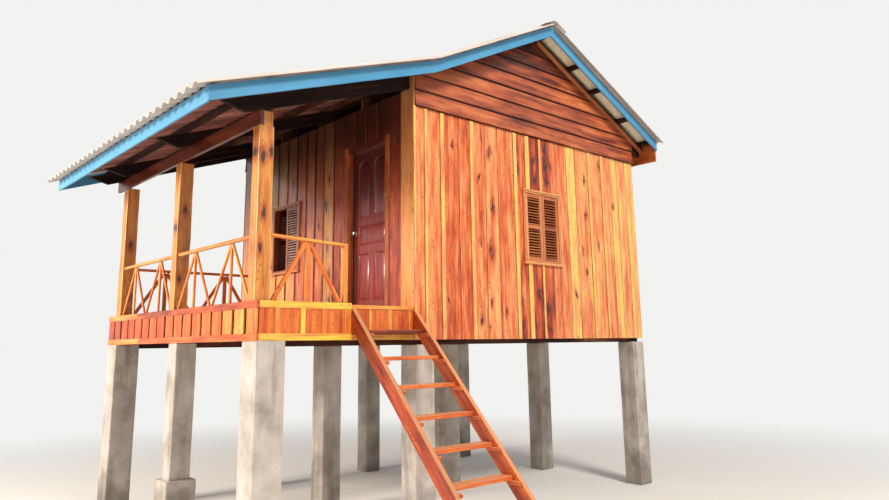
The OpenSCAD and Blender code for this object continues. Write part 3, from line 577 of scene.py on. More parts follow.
def settle(mesh, name, nodes=(), body="house"):
    """Names a finished mesh, and hangs it on a body in place of its CAD nodes."""
    mesh.name = name
    made = placed(name, mesh)
    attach(made, body)
    if nodes:
        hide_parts(*nodes)


def grown(name, marks, tree, inputs, arris=0.0, rounds=1):
    """The plain mesh that a Geometry Nodes tree, and a bevel, make of a mesh of marks."""
    holder = placed(name, marks)
    grow = holder.modifiers.new("grow", "NODES")
    grow.node_group = tree
    for socket in tree.interface.items_tree:
        if socket.in_out == "INPUT" and socket.name in inputs:
            grow[socket.identifier] = inputs[socket.name]
    if arris:
        edge = holder.modifiers.new("arris", "BEVEL")
        edge.width, edge.segments, edge.limit_method = arris, rounds, "ANGLE"
        edge.angle_limit, edge.use_clamp_overlap = math.radians(50), True
    graph = bpy.context.evaluated_depsgraph_get()
    ready = holder.evaluated_get(graph)
    mesh = bpy.data.meshes.new_from_object(ready, preserve_all_data_layers=True, depsgraph=graph)
    bpy.data.objects.remove(holder)
    return mesh


ORANGE, BROWN, YELLOW = "orange_varnished_wood", "brown_varnished_wood", "yellow_varnished_wood"
DARK, BLUE, CEMENT = "dark_rough_wood", "blue_paint_on_wood", "fibre_cement"
# How long and thin boards, and small joinery, differ from wall boards
PLANK = {"segments": 24, "wander": 0.001, "arris": 0.002}
STICK = {"segments": 6, "wander": 0.001}
CASING = {"segments": 2, "wander": 0.0, "arris": 0.002}
LOUVRE = {"segments": 1, "wander": 0.0, "arris": 0.0015}


def saw(name, boards, finish, slot, *nodes, segments=8, wander=0.0015, length=0.35, arris=0.003, rounds=1, cuts=()):
    """Makes a piece from a set of sticks."""
    marks = bpy.data.meshes.new(name)
    marks.from_pydata([r["centre"] for r in boards.rows], [], [])
    for kind, key, keys in (
        ("FLOAT_VECTOR", "vector", ("size", "turn", "shift", *KNOTS)), ("FLOAT", "value", ("piece", "tone", "stick")),
    ):
        for label in keys:
            values = np.array([r[label] for r in boards.rows], float).ravel()
            marks.attributes.new(label, kind, "POINT").data.foreach_set(key, values)
    inputs = {"Segments": segments + 1, "Wander": wander, "Wander length": length, "Finish": finish}
    mesh = grown(name, marks, sawn_boards, inputs, arris, rounds)
    every = boards.cuts + [(None, *cut) for cut in cuts]
    if every:
        trim(mesh, every)
    settle(mesh, name, nodes)


# Walls: a side is the axis that the wall runs along and the sign of the way that it faces

NEAR, FAR, FRONT, REAR = ("x", -1), ("x", 1), ("y", -1), ("y", 1)


def upright(boards, side, across, skin, heights, tones, hole=None, gap=0.003, knots=()):
    """Upright boards side by side: across holds their edges along the wall and tones their shades.

    skin holds the wall's two faces, hole is (from, to, foot, head) and knots are (place, z, radius).
    """
    axis, out = side
    z0, z1 = heights
    for i, (a, b) in enumerate(zip(across, across[1:])):
        a, b = a + gap / 2, b - gap / 2
        mid, piece = (a + b) / 2, rng.random()
        runs = [(a, b, z0, z1)]
        if hole and a < hole[1] and b > hole[0]:
            low, high = max(a, hole[0]), min(b, hole[1])
            runs = [(low, high, z0, hole[2]), (low, high, hole[3], z1)]
            runs += [(a, hole[0], z0, z1)] * (a < hole[0] - 0.012) + [(hole[1], b, z0, z1)] * (b > hole[1] + 0.012)
        mine = [k for k in knots if a - 0.01 < k[0] < b + 0.01][: len(KNOTS)]
        way = 1.0 if (axis == "x") == (out < 0) else -1.0
        deep, z_mid = (skin[0] + skin[1]) / 2, (z0 + z1) / 2
        marks = [(way * (k[0] - mid), k[1] - z_mid, k[2]) for k in mine]
        for p, q, low, high in runs:
            centre = (p + q) / 2
            flat, face = ((centre, deep), (0, out, 0)) if axis == "x" else ((deep, centre), (out, 0, 0))
            own = (way * (centre - mid), 0.0, (low + high) / 2 - z_mid)
            thick = abs(skin[1] - skin[0])
            boards.lay((*flat, low), (*flat, high), face, q - p, thick, tones[i], piece, own, marks)


def strips(boards, side, spans, skin, heights, hole=None):
    """Single upright strips, each a (from, to, tone), as over the joints of a wall."""
    for a, b, tone in spans:
        upright(boards, side, (a, b), skin, heights, (tone,), hole, 0.0)


def plain_wall(boards, side, edges, face, cover, top, short, palest, hole=None):
    """A wall of upright boards of chance shades, with a cover strip over each joint."""
    tones = list(rng.uniform(0.28, palest, len(edges) - 1))
    upright(boards, side, edges, (face - 0.024, face - 0.002), (0.0, top), tones, hole)
    spans = ((e - 0.028, e + 0.028, rng.uniform(0.6, 0.95)) for e in edges[1:-1])
    strips(boards, side, spans, cover, (0.0, top - short), hole)


# The near gable's boards from front to back: edge of each, then its shade
near_edges = [
    0.0, 0.165, 0.418, 0.695, 0.905, 1.143, 1.37, 1.69, 1.925, 2.19, 2.4, 2.76, 2.95, 3.275, 3.58, 3.8, 3.965,
    4.19, 4.4,
]
near_tones = [
    0.6, 0.54, 0.4, 0.46, 0.56, 0.60, 0.52, 0.42, 0.20, 0.34, 0.54, 0.96, 0.68, 0.66, 0.66, 0.98, 0.76, 0.88,
]
near_strips = [
    (0.14, 0.188, 0.92), (0.388, 0.448, 0.86), (0.873, 0.937, 0.84), (1.656, 1.722, 0.96), (1.885, 1.965, 0.94),
    (2.16, 2.202, 0.86), (3.24, 3.306, 0.92), (3.554, 3.604, 0.9),
]
near_knots = [
    (1.296, 2.32, 0.042), (1.254, 1.61, 0.04), (1.292, 1.06, 0.05), (1.304, 0.41, 0.024), (1.35, 0.13, 0.024),
    (1.004, 1.16, 0.028), (0.985, 1.5, 0.018), (1.02, 1.98, 0.022), (0.977, 2.5, 0.022), (1.018, 0.24, 0.026),
    (1.584, 1.2, 0.02), (1.605, 0.32, 0.026), (0.53, 2.3, 0.02), (0.62, 0.42, 0.018),
    (1.8, 2.44, 0.05), (1.797, 2.2, 0.045), (1.815, 0.78, 0.055), (1.8, 0.48, 0.05), (1.776, 0.1, 0.06),
    (2.059, 2.36, 0.04), (2.043, 2.08, 0.035), (2.03, 0.58, 0.03), (2.1, 0.15, 0.03),
    (2.296, 2.56, 0.06), (2.283, 2.32, 0.065), (2.27, 2.08, 0.05), (2.34, 0.36, 0.05), (2.325, 0.11, 0.055),
    (3.068, 2.26, 0.028), (3.064, 1.72, 0.034), (3.1, 0.9, 0.026), (3.167, 1.23, 0.03),
    (3.326, 2.52, 0.024), (3.42, 1.3, 0.02), (3.931, 1.92, 0.022), (2.85, 0.6, 0.022), (2.52, 2.3, 0.022),
]
gable = Boards()
upright(gable, NEAR, near_edges, (0.002, 0.024), (0.0, WALL_TOP), near_tones, GABLE_HOLE, knots=near_knots)
strips(gable, NEAR, near_strips, (-0.012, 0.001), (0.0, WALL_TOP - 0.012), GABLE_HOLE)
gable.block(-0.026, 0.008, -0.014, 0.001, 0.0, WALL_TOP - 0.002, tone=0.9)
far_edges = [0.0] + [0.235 * i + rng.uniform(-0.02, 0.02) for i in range(1, 18)] + [4.19, 4.4]
plain_wall(gable, FAR, far_edges, LENGTH, (LENGTH - 0.001, LENGTH + 0.012), WALL_TOP, 0.012, 0.72, GABLE_HOLE)
saw("gable_wall_boards", gable, gable_wood, ORANGE, "gable_walls")

# Lapped boards in the gables, each lower edge standing over the one below; a board is 16 mm thick
# and leans out 26 mm, so that a dark slit stays under its edge
laps, rise, lean = Boards(), 0.225, 0.026
for side, out in ((0.0, -1.0), (LENGTH, 1.0)):
    # the top boards' darker tones are partly stain and partly painted shade of the roof overhang
    for z, tone in (
        (2.675, 0.46), (2.875, 0.47), (3.075, 0.54), (3.28, 0.5), (3.484, 0.38), (3.688, 0.26), (3.89, 0.18),
    ):
        y, up = side + out * (LAP_OUT + 0.004 - lean / 2 - 0.008), z + rise / 2
        ends = [(0.002, y, up), (WIDTH - 0.002, y, up)][:: -1 if out > 0 else 1]
        laps.lay(*ends, (0.0, out * rise, lean), rise, 0.016, tone)
# a strip covers their ends along the back slope
for y, out in ((-LAP_OUT - 0.01, -1), (LENGTH + LAP_OUT + 0.01, 1)):
    ends = between(RIDGE + 0.0005, 4.665)
    laps.slanted(BACK_SLOPE, y, (RAFTER_UP - 0.04) / 2, 0.1, out, RAFTER_UP + 0.04, 0.02, 0.72, ends)
under_roof = [
    ((a[0], 0.0, a[1] + RAFTER_UP - 0.001), (a[1] - b[1], 0.0, b[0] - a[0])) for a, b in (FRONT_SLOPE, BACK_SLOPE)
]
saw("gable_lap_boards", laps, lap_wood, ORANGE, "gable_tops", segments=20, arris=0.002, cuts=under_roof)

# Back wall
back = Boards()
back_edges = [BOARD] + [0.235 * i + rng.uniform(-0.02, 0.02) for i in range(1, 17)] + [LENGTH - BOARD]
back_top = roof_z(WIDTH) - BACK_DROP
plain_wall(back, REAR, back_edges, WIDTH, (WIDTH - 0.013, WIDTH), back_top, 0.01, 0.7)
saw("back_wall_boards", back, gable_wood, ORANGE, "back_wall")

# Front wall, in its three parts round the doorway
front_low, front_top, front_skin = DECK - FLOOR, roof_z(0.0) - DROP, (0.002, 0.024)
part = Boards()
upright(part, FRONT, (BOARD, 0.235, 0.475), front_skin, (front_low, front_top), (0.6, 0.36))
part.block(-0.012, 0.001, 0.232, 0.25, DECK, front_top, tone=0.7)
saw("front_wall_near_boards", part, porch_wood, BROWN, "front_wall_near")
part = Boards()
part.block(-0.026, 0.001, -0.012, 0.218, DECK, front_top, tone=0.8)
part.block(-0.026, 0.001, -0.012, 0.06, front_top, roof_z(-0.026) + 0.06, tone=0.8)
saw("front_corner_cover_boards", part, corner_wood, BROWN)
part = Boards()
front_edges = [1.412, 1.655, 1.9, 2.115, 2.349, 2.6, 2.86, 3.13, 3.38, 3.62, 3.87, LENGTH - BOARD]
front_tones = [0.44, 0.96, 0.56, 0.66, 0.6, 0.82, 0.92, 0.9, 0.86, 0.84, 0.86]
front_knots = [
    (1.75, 1.2, 0.034), (1.8, 0.85, 0.036), (1.72, 1.75, 0.034), (1.82, 0.5, 0.034), (1.78, 2.1, 0.03),
    (1.52, 0.6, 0.03), (2.0, 1.5, 0.02), (2.75, 2.2, 0.03), (3.3, 1.1, 0.03),
]
upright(
    part, FRONT, front_edges, front_skin, (front_low, front_top), front_tones, FRONT_HOLE, 0.009, front_knots
)
spans = ((e - 0.014, e + 0.014, rng.uniform(0.1, 0.5)) for e in front_edges[1:-1])
strips(part, FRONT, spans, (-0.008, 0.001), (DECK, front_top), FRONT_HOLE)
saw("front_wall_boards", part, porch_wood, BROWN, "front_wall_far")
part = Boards()
over_door, head_edges = (DOOR_TOP + DOOR_SIDE, front_top), (0.475, 0.7, 0.94, 1.18, 1.412)
# their dark tones are painted shade under the porch roof
upright(part, FRONT, head_edges, front_skin, over_door, (0.3, 0.36, 0.26, 0.32), None, 0.006)
strips(part, FRONT, [(e - 0.02, e + 0.02, 0.6) for e in head_edges[1:-1]], (-0.014, 0.001), over_door)
saw("boards_over_door", part, porch_wood, BROWN, "front_wall_head")

# Floors and what carries them
timber = Boards()
for y in ROWS:
    timber.block(-PORCH + 0.032, WIDTH - 0.027, y - 0.05, y + 0.05, -BEARER, 0.178, "x", rng.uniform(0.3, 0.6))
saw("floor_bearer_timbers", timber, frame_wood, DARK, "floor_bearers")
timber = Boards()
for i in range(10):
    x = -PORCH + 0.06 + i * (WIDTH + PORCH - 0.12) / 9
    timber.block(x - 0.025, x + 0.025, 0.032, LENGTH - 0.032, 0.178, 0.328, "y", rng.uniform(0.3, 0.6))
saw("floor_joist_timbers", timber, frame_wood, DARK, "floor_joists")
room_end = WIDTH - 0.026
room_runs = ((0.026, 1.524), (1.5, 2.998), (3.0, room_end - 0.002))
for name, node, inset, least, runs, gap, palest in (
    ("porch_floor_boards", "porch_floor", 0.032, 0.008, ((-PORCH + 0.031, -0.001),), 0.003, 0.8),
    ("room_floor_boards", "room_floor", 0.026, 0.004, room_runs, 0.002, 0.7),
):
    timber, y = Boards(), inset
    while y < LENGTH - inset - least:
        wide = min(rng.uniform(0.13, 0.17), LENGTH - inset - y)
        for x0, x1 in runs:
            timber.block(x0, x1, y, y + wide - gap, DECK - 0.027, DECK, "x", rng.uniform(0.3, palest))
        y += wide
    saw(name, timber, floor_wood, BROWN, node)

# Skirts round the deck's edge: slats between two rails, the left one's rails spliced
skirt, splice, rails = Boards(), 3.03, ((0.305, SKIRT), (0.0, 0.068))
for heights, tone, joints in zip(rails, (0.13, 0.38), ((0.0, 2.05, splice + 0.1, LENGTH), (0.0, splice, LENGTH))):
    for a, b in zip(joints, joints[1:]):
        shade = 0.6 if b == LENGTH else tone + rng.uniform(-0.04, 0.04)
        skirt.block(-PORCH, -PORCH + 0.03, a, b - 0.002, *heights, "y", shade)
pitch = LENGTH / 17
for i in range(17):
    mid, half = pitch * (i + 0.5) + rng.uniform(-0.006, 0.006), 0.41 * pitch
    shade = 0.6 - 0.026 * i + rng.uniform(-0.1, 0.1)
    skirt.block(-PORCH + 0.008, -PORCH + 0.026, mid - half, mid + half, *SLATS, tone=shade)
saw("left_skirt_boards", skirt, trim_wood, ORANGE, "left_skirt", wander=0.001)

skirt = Boards()
near_bars = ((-1.71, -1.647, 0.66), (-1.432, -1.377, 0.98), (-1.191, -1.139, 0.62), (-0.93, -0.844, 0.55))
far_slats = (-1.87, -1.6, -1.35, -1.1, -0.85, -0.6, -0.3, 0.0)
for side, edge, end, edges, bars in (
    (NEAR, 0.0, LADDER[0], (-1.87, -1.66, -1.4, -1.165, -0.96, -0.842), near_bars),
    (FAR, LENGTH, 0.0, far_slats, [(e - 0.026, e + 0.026, 0.6) for e in far_slats[1:-1]]),
):
    out = side[1]
    for heights in rails:
        skirt.block(-PORCH + 0.03, end, *sorted((edge, edge - out * 0.03)), *heights, "x", 0.97)
    tones = list(rng.uniform(0.3, 0.44, len(edges) - 1))
    upright(skirt, side, edges, (edge - out * 0.01, edge - out * 0.026), SLATS, tones, None, 0.004)
    strips(skirt, side, bars, (edge - out * 0.002, edge - out * 0.012), (0.066, 0.307))
saw("end_skirt_boards", skirt, trim_wood, YELLOW, "end_skirts", wander=0.001)

skirt, heights = Boards(), (0.1, 0.316)
skirt.block(LADDER[0], 0.0, 0.0, 0.03, 0.0, 0.058, "x", 0.8)
skirt.block(LADDER[0], 0.0, 0.0, 0.03, 0.314, DECK, "x", 0.74)
edges = (LADDER[0], -0.6, -0.35, -0.08, 0.0)
upright(skirt, NEAR, edges, (0.01, 0.026), heights, (0.36, 0.42, 0.38, 0.4), None, 0.004)
bars = ((-0.628, -0.583, 0.6), (-0.374, -0.32, 0.66), (-0.101, -0.066, 0.6))
strips(skirt, NEAR, bars, (0.002, 0.012), heights)
for x in (LADDER[0], -0.05):
    skirt.block(x, x + 0.05, 0.008, 0.03, 0.058, 0.1, tone=0.3)
saw("ladder_skirt_boards", skirt, trim_wood, ORANGE, "ladder_skirt", wander=0.001)

# Ladder: treads on cleats between two raking stringers
ladder, treads = Boards(), Boards()
slope = Vector((0.0, 1.0, PITCH)).normalized()
lift = Vector((0.0, -slope.z, slope.y)) * 0.075
ends = [((0, 0, -GROUND), (0, 0, -1)), ((0, -0.001, 0), (0, 1, 0)), ((0, 0.001 - LADDER_RUN, 0), (0, -1, 0))]
for x, tone in ((LADDER[0] + STRINGER / 2, 0.2), (LADDER[1] - STRINGER / 2, 0.38)):
    low = Vector((x, -LADDER_RUN, -GROUND)) - lift - slope * 0.25
    high = Vector((x, 0.0, LADDER_TOP)) - lift + slope * 0.25
    ladder.lay(low, high, (-1, 0, 0), 0.15, STRINGER, tone, cuts=ends)
inside, cleat, tread = (LADDER[0] + STRINGER, LADDER[1] - STRINGER), 0.035, 0.038
for i in range(1, TREADS + 1):
    z = DECK - i * (DECK + GROUND) / (TREADS + 1) + 0.012 - tread
    y = -(LADDER_TOP - z - tread) / PITCH + 0.055
    shade = rng.uniform(0.5, 0.62) if i > 1 else 0.05
    treads.block(*inside, y, y + 0.148, z, z + tread, "x", shade)
    y = -(LADDER_TOP - z + cleat) / PITCH + 0.01
    for x in (inside[0], inside[1] - cleat):
        ladder.block(x, x + cleat, y, y + 0.154, z - cleat, z, "y", 0.35)
saw("ladder_stringer_boards", ladder, ladder_wood, ORANGE, "ladder_stringers", segments=16)
saw("ladder_tread_boards", treads, ladder_wood, ORANGE, "ladder_treads")

# Porch posts, leaning a little as the trees they were, and the beam on them
posts = Boards()
beam_low, beam_high = PORCH_EAVE[1] + 0.008, PORCH_EAVE[1] + 0.158
for y0, y1, knots in (
    (0.064, 0.204, [
        (0.033, 0.55, 0.044), (-0.052, 0.61, 0.034), (0.006, -0.01, 0.036), (0.043, -0.355, 0.034), (0.09, 0.6, 0.03),
    ]),
    (1.99, 2.13, [(0.0, 0.3, 0.034), (0.03, -0.5, 0.034), (0.09, 0.1, 0.03)]),
    (3.78, 3.92, [(0.0, 0.1, 0.034), (-0.03, -0.6, 0.03)]),
):
    x, y, piece = -PORCH + 0.0825, (y0 + y1) / 2, rng.random()
    foot, head = (x, y, DECK), (x - 0.006, y, beam_low)
    posts.lay(foot, head, (0, -1, 0), 0.16, y1 - y0, 0.42, piece, knots=knots)
    if y0 < 0.1:
        # above the beam's lower edge only the inner part goes on, behind the beam
        start, reach = beam_low - 0.06, beam_high
        own = (0.012, 0.0, (start + reach) / 2 - (DECK + beam_low) / 2)
        foot, head = (x + 0.01, y, start), (x + 0.008, y, reach)
        posts.lay(foot, head, (0, -1, 0), 0.104, y1 - y0 - 0.001, 0.42, piece, own, knots)
natural = {"segments": 22, "wander": 0.0055, "length": 0.45, "arris": 0.014, "rounds": 3}
saw("porch_post_timbers", posts, post_wood, YELLOW, "porch_posts", **natural)
beam = Boards()
beam.block(-PORCH - 0.003, -PORCH + 0.037, 0.062, LENGTH, beam_low, beam_high, "y", 0.12)
saw("eave_beam_timber", beam, frame_gloss, BROWN, "eave_beam", segments=20)

# Railings: a king stick with a leaning one on each side, under a top rail


def king_bay(rail, axis, across, a, b, high, thin=1.0):
    """One bay of a railing between a and b, from the skirt up to high."""
    mid, face = (a + b) / 2, (0, -1, 0) if axis == "x" else (-1, 0, 0)
    for p, q, wide in ((mid, mid, 0.05), (a + 0.03, mid - 0.02, 0.042), (b - 0.03, mid + 0.02, 0.042)):
        foot, head = ((p, across), (q, across)) if axis == "x" else ((across, p), (across, q))
        tone = rng.uniform(0.45, 0.7)
        rail.lay((*foot, SKIRT), (*head, high - 0.01), face, wide * thin, 0.03 * thin, tone)


rail, x, under_rail = Boards(), -PORCH + 0.04, RAIL - 0.035
for a, b in ((0.204, 1.97), (2.13, 3.78)):
    rail.block(x - 0.02, x + 0.02, a, b, under_rail, RAIL, "y", 0.62)
    for c in (a, (a + b) / 2):
        king_bay(rail, "y", x, c, c + (b - a) / 2, under_rail, 0.72)
saw("left_railing_sticks", rail, trim_wood, BROWN, "left_railing", **STICK)
# the end railings start at the porch posts, and the near one stops at a short post by the ladder
rail, first, near_y, far_y, end_post = Boards(), -1.735, 0.084, 3.85, (-0.912, -0.857)
rail.lay((first - 0.003, near_y, RAIL - 0.006), (end_post[1], near_y, RAIL - 0.04), (0, 0, 1), 0.05, 0.032, 0.7)
king_bay(rail, "x", near_y, first, end_post[0], under_rail)
rail.block(*end_post, 0.056, 0.112, DECK, RAIL - 0.045, tone=0.7)
saw("near_railing_sticks", rail, trim_wood, BROWN, "near_railing", **STICK)
rail = Boards()
rail.block(first, 0.0, far_y - 0.02, far_y + 0.02, under_rail, RAIL, "x", 0.62)
for c in (first, first / 2):
    king_bay(rail, "x", far_y, c, c - first / 2, under_rail)
saw("far_railing_sticks", rail, trim_wood, BROWN, "far_railing", **STICK)

# Barge boards and fascias
barge = Boards()
for y, out in ((-VERGE + 0.0125, -1), (LENGTH + VERGE - 0.0125, 1)):
    for slope in (PORCH_SLOPE, FRONT_SLOPE, BACK_SLOPE):
        ends, tone = between(slope[0][0], slope[1][0]), rng.uniform(0.4, 0.6)
        barge.slanted(slope, y, BARGE / 2, 0.15, out, BARGE, 0.024, tone, ends)
saw("barge_board_planks", barge, paint, BLUE, "barge_boards", **{**PLANK, "segments": 20})
for name, node, x, foot, eave, finish, slot in (
    ("porch_fascia_plank", "porch_fascia", PORCH_EAVE[0], 0.0, PORCH_EAVE[1], paint, BLUE),
    ("back_fascia_plank", "back_fascia", BACK_EAVE[0] - 0.024, -0.165, BACK_EAVE[1], frame_gloss, ORANGE),
):
    barge, inset = Boards(), -VERGE + BOARD
    barge.block(x, x + 0.024, inset, LENGTH - inset, eave + foot, eave + BARGE, "y", 0.6)
    saw(name, barge, finish, slot, node, **PLANK)

# Roof frame
rafters, porch_rafters = Boards(), Boards()
room_places = [BOARD + i * (LENGTH - 0.1) / 4 for i in range(5)]
tail, tail_x, tail_up = -2.558, -PORCH - 0.15, 0.045
tail_line = [line_z(x, *PORCH_SLOPE) for x in (tail_x, tail)]
tail_cut = ((tail_x, 0, tail_line[0] - DROP), (-abs(tail_line[1] - tail_up - tail_line[0] + DROP), 0, tail - tail_x))
for made, places, slope, drop, reach in (
    (porch_rafters, (0.064, 1.7, 3.49, LENGTH - 0.075), PORCH_SLOPE, DROP, (tail, BOARD)),
    (rafters, room_places, FRONT_SLOPE, DROP, (0.026, RIDGE)),
    (rafters, room_places, BACK_SLOPE, BACK_DROP, (RIDGE + 0.0005, 4.665)),
):
    for y in places:
        # the porch rafters are near black: painted shade under the porch roof
        tone = rng.uniform(0.3, 0.5) if made is rafters else 0.05
        ends = between(*reach) + [tail_cut] * (made is porch_rafters)
        made.slanted(slope, y + 0.025, (RAFTER_UP - drop) / 2, 0.1, -1, RAFTER_UP + drop, 0.05, tone, ends)
saw("house_rafter_timbers", rafters, frame_wood, DARK, "house_rafters", segments=10)
saw("porch_rafter_timbers", porch_rafters, frame_wood, DARK, "porch_rafters", segments=10)
purlins, purlin_lines = Boards(), []
for slope, shares in (
    (PORCH_SLOPE, (0.02, 0.222, 0.476, 0.735, 0.97)), (FRONT_SLOPE, (0.25, 0.54, 0.96)),
    (BACK_SLOPE, (0.01, 0.265, 0.465, 0.73, 0.955)),
):
    for share in shares:
        x = slope[0][0] + share * (slope[1][0] - slope[0][0])
        purlin_lines.append((x, line_z(x, *slope), slope, *slope_ways(*slope)))
for x, z, slope, way, up in purlin_lines:
    centre = Vector((x, 0, z + RAFTER_UP)) + way * 0.025 + up * 0.036
    ends = [centre + Vector((0, y, 0)) for y in (-VERGE + BOARD, LENGTH + VERGE - BOARD)]
    purlins.lay(*ends, up, 0.05, 0.068, rng.uniform(0.25, 0.45))
saw("roof_purlin_timbers", purlins, frame_wood, DARK, "roof_purlins", segments=12)

# Frame of the room
timber, low = Boards(), DECK - FLOOR
inner_x, inner_y = WIDTH - BOARD - STUD, LENGTH - BOARD - STUD
front_post, back_post, side_post = roof_z(BOARD) - DROP - 0.085, roof_z(WIDTH) - BACK_DROP - 0.07, WALL_TOP - 0.1
for x, top in (
    (BOARD, front_post), (inner_x, back_post), (WINDOW_X[0] - 0.16, side_post), (WINDOW_X[1] + 0.07, side_post),
):
    for y in (BOARD, inner_y):
        timber.block(x, x + STUD, y, y + STUD, low, top, tone=rng.uniform(0.4, 0.6))
timber.block(inner_x, inner_x + STUD, (LENGTH - STUD) / 2, (LENGTH + STUD) / 2, low, back_post, tone=0.5)
timber.block(BOARD, BOARD + STUD, 1.91, 2.0, low, front_post, tone=0.5)
saw("wall_post_timbers", timber, frame_wood, DARK, "wall_posts")
timber = Boards()
for x, seat in ((BOARD, front_post + 0.1), (inner_x, back_post + 0.1)):
    timber.block(x, x + STUD, BOARD, LENGTH - BOARD, seat - 0.1, seat - 0.001, "y", 0.5)
for y in (0.027, inner_y + 0.002):
    timber.block(BOARD + STUD, inner_x, y, y + 0.086, side_post, WALL_TOP, "x", 0.5)
saw("wall_plate_timbers", timber, frame_wood, DARK, "wall_plates")

# Door frame: jambs, head, sill and stops
joinery, stop, door_head = Boards(), 0.012, DOOR_TOP + DOOR_SIDE
for y, tone in ((DOOR_NEAR - DOOR_SIDE, 0.5), (DOOR_FAR, 0.55)):
    joinery.block(-0.008, 0.125, y, y + DOOR_SIDE, DECK, door_head, tone=tone)
# the head is painted dark: painted shade under the porch roof
joinery.block(-0.008, 0.125, DOOR_NEAR, DOOR_FAR, DOOR_TOP, door_head, "y", 0.1)
joinery.block(0.0, BOARD, DOOR_NEAR - DOOR_SIDE, DOOR_FAR + DOOR_SIDE, DECK - FLOOR, DECK, "y", 0.4)
for y in (DOOR_NEAR, DOOR_FAR - stop):
    joinery.block(0.066, 0.08, y, y + stop, DECK, DOOR_TOP, tone=0.4)
joinery.block(0.066, 0.08, DOOR_NEAR + stop, DOOR_FAR - stop, DOOR_TOP - stop, DOOR_TOP, "y", 0.4)
saw("door_frame_boards", joinery, frame_gloss, ORANGE, "door_frame")

# Window frames and louvred shutters: u runs along the wall and v out of it

FRAME, STILE_W, LEAF_RAIL, LEAF_T, LOUVRES = 0.024, 0.046, 0.048, 0.032, 10


def window(frames, leaves, slats, place, spread, tone, folded=False):
    """A window frame, and its two leaves; place turns (u, v, z) into a point, with v outwards."""
    wide, tall = spread[1] - spread[0], WINDOW_Z[1] - WINDOW_Z[0]

    def stick(boards, start, end, z0, z1, shade):
        sides = [sorted(pair) for pair in zip(place(*start, z0), place(*end, z1))]
        along = max((high - low, axis) for (low, high), axis in zip(sides, "xyz"))[1]
        boards.block(*sides[0], *sides[1], *sides[2], along, shade)

    for u in (0.0, wide - FRAME):
        stick(frames, (u, -0.06), (u + FRAME, 0.02), 0.0, tall, tone)
    for z in (0.0, tall - FRAME):
        stick(frames, (FRAME, -0.06), (wide - FRAME, 0.02), z, z + FRAME, tone)
    for u in (-0.016, wide):
        stick(frames, (u, 0.0), (u + 0.016, 0.02), 0.0, tall, tone)
    stick(frames, (-0.03, 0.0), (wide + 0.03, 0.036), -0.032, 0.0, tone + 0.2)
    stick(frames, (-0.026, 0.0), (wide + 0.026, 0.032), tall, tall + 0.026, tone + 0.1)
    leaf_w, leaf_h = (wide - 0.052) / 2, tall - 0.052
    field = (leaf_h - 3 * LEAF_RAIL) / 2
    # the second leaf is painted darker than the first: painted shade
    for k in (0, 1):
        def at(u, v, k=k):
            if k and folded:
                return wide + v, -0.06 - u
            return FRAME + k * (leaf_w + 0.004) + u, 0.01 - v
        for u in (0.0, leaf_w - STILE_W):
            foot, head = at(u, 0.0), at(u + STILE_W, LEAF_T)
            stick(leaves, foot, head, FRAME, FRAME + leaf_h, tone + 0.05 - 0.22 * k)
        for i in range(3):
            z = FRAME + i * (LEAF_RAIL + field)
            start, end = at(STILE_W, 0.0), at(leaf_w - STILE_W, LEAF_T)
            stick(leaves, start, end, z, z + LEAF_RAIL, tone - 0.15 - 0.2 * k)
            for j in range(LOUVRES * (i < 2)):
                up = z + LEAF_RAIL + field * (j + 0.5) / LOUVRES
                start, end, front, rear = (
                    Vector(place(*at(u, v), up))
                    for u, v in ((STILE_W, 0.016), (leaf_w - STILE_W, 0.016), (0.1, 0.0), (0.1, LEAF_T))
                )
                lean = ((front - rear).normalized() + Vector((0, 0, -0.9))).normalized()
                face = lean.cross((end - start).normalized())
                slats.lay(start, end, face, 0.025, 0.008, rng.uniform(0.45, 0.85) - 0.12 * k)


frames, leaves, slats = Boards(), Boards(), Boards()
window(frames, leaves, slats, lambda u, v, z: (WINDOW_X[0] + u, -v, WINDOW_Z[0] + z), WINDOW_X, 0.86)
window(frames, leaves, slats, lambda u, v, z: (WINDOW_X[0] + u, LENGTH + v, WINDOW_Z[0] + z), WINDOW_X, 0.86)
saw("gable_window_frame_boards", frames, frame_gloss, ORANGE, "gable_window_frames", **CASING)
saw("gable_shutter_leaves", leaves, frame_gloss, ORANGE, "gable_window_shutters", **LOUVRE)
saw("gable_shutter_slats", slats, frame_gloss, ORANGE, **LOUVRE)
frames, leaves, slats = Boards(), Boards(), Boards()
window(frames, leaves, slats, lambda u, v, z: (-v, WINDOW_Y[0] + u, WINDOW_Z[0] + z), WINDOW_Y, 0.6, True)
saw("front_window_frame_boards", frames, frame_gloss, ORANGE, "front_window_frame", **CASING)
saw("front_shutter_leaves", leaves, frame_gloss, ORANGE, "front_window_shutters", **LOUVRE)
saw("front_shutter_slats", slats, slats_with_painted_sky_sheen, ORANGE, **LOUVRE)

# Piers: cast in boarded forms, with worn arrises; the slim one stands on a footing block
piers, corner, usual, slim, footing = Boards(), 0.15, 0.1325, 0.116, 0.165
for i, x in enumerate(LINES):
    for j, y in enumerate(ROWS):
        half, low = corner if i == 0 else usual, -GROUND
        if (i, j) == (2, 0):
            continue
        if (i, j) == (0, 1):
            x, half = -1.783, slim
            piers.block(x - footing, x + footing, y - footing, y + footing, low, low + 0.605)
            low += 0.58
        piers.block(x - half, x + half, y - half, y + half, low, 0.0 if i == 0 else -BEARER)
cast = {"segments": 16, "wander": 0.003, "length": 0.5, "arris": 0.012, "rounds": 2}
saw("cast_piers", piers, concrete, "concrete", "concrete_piers", **cast)


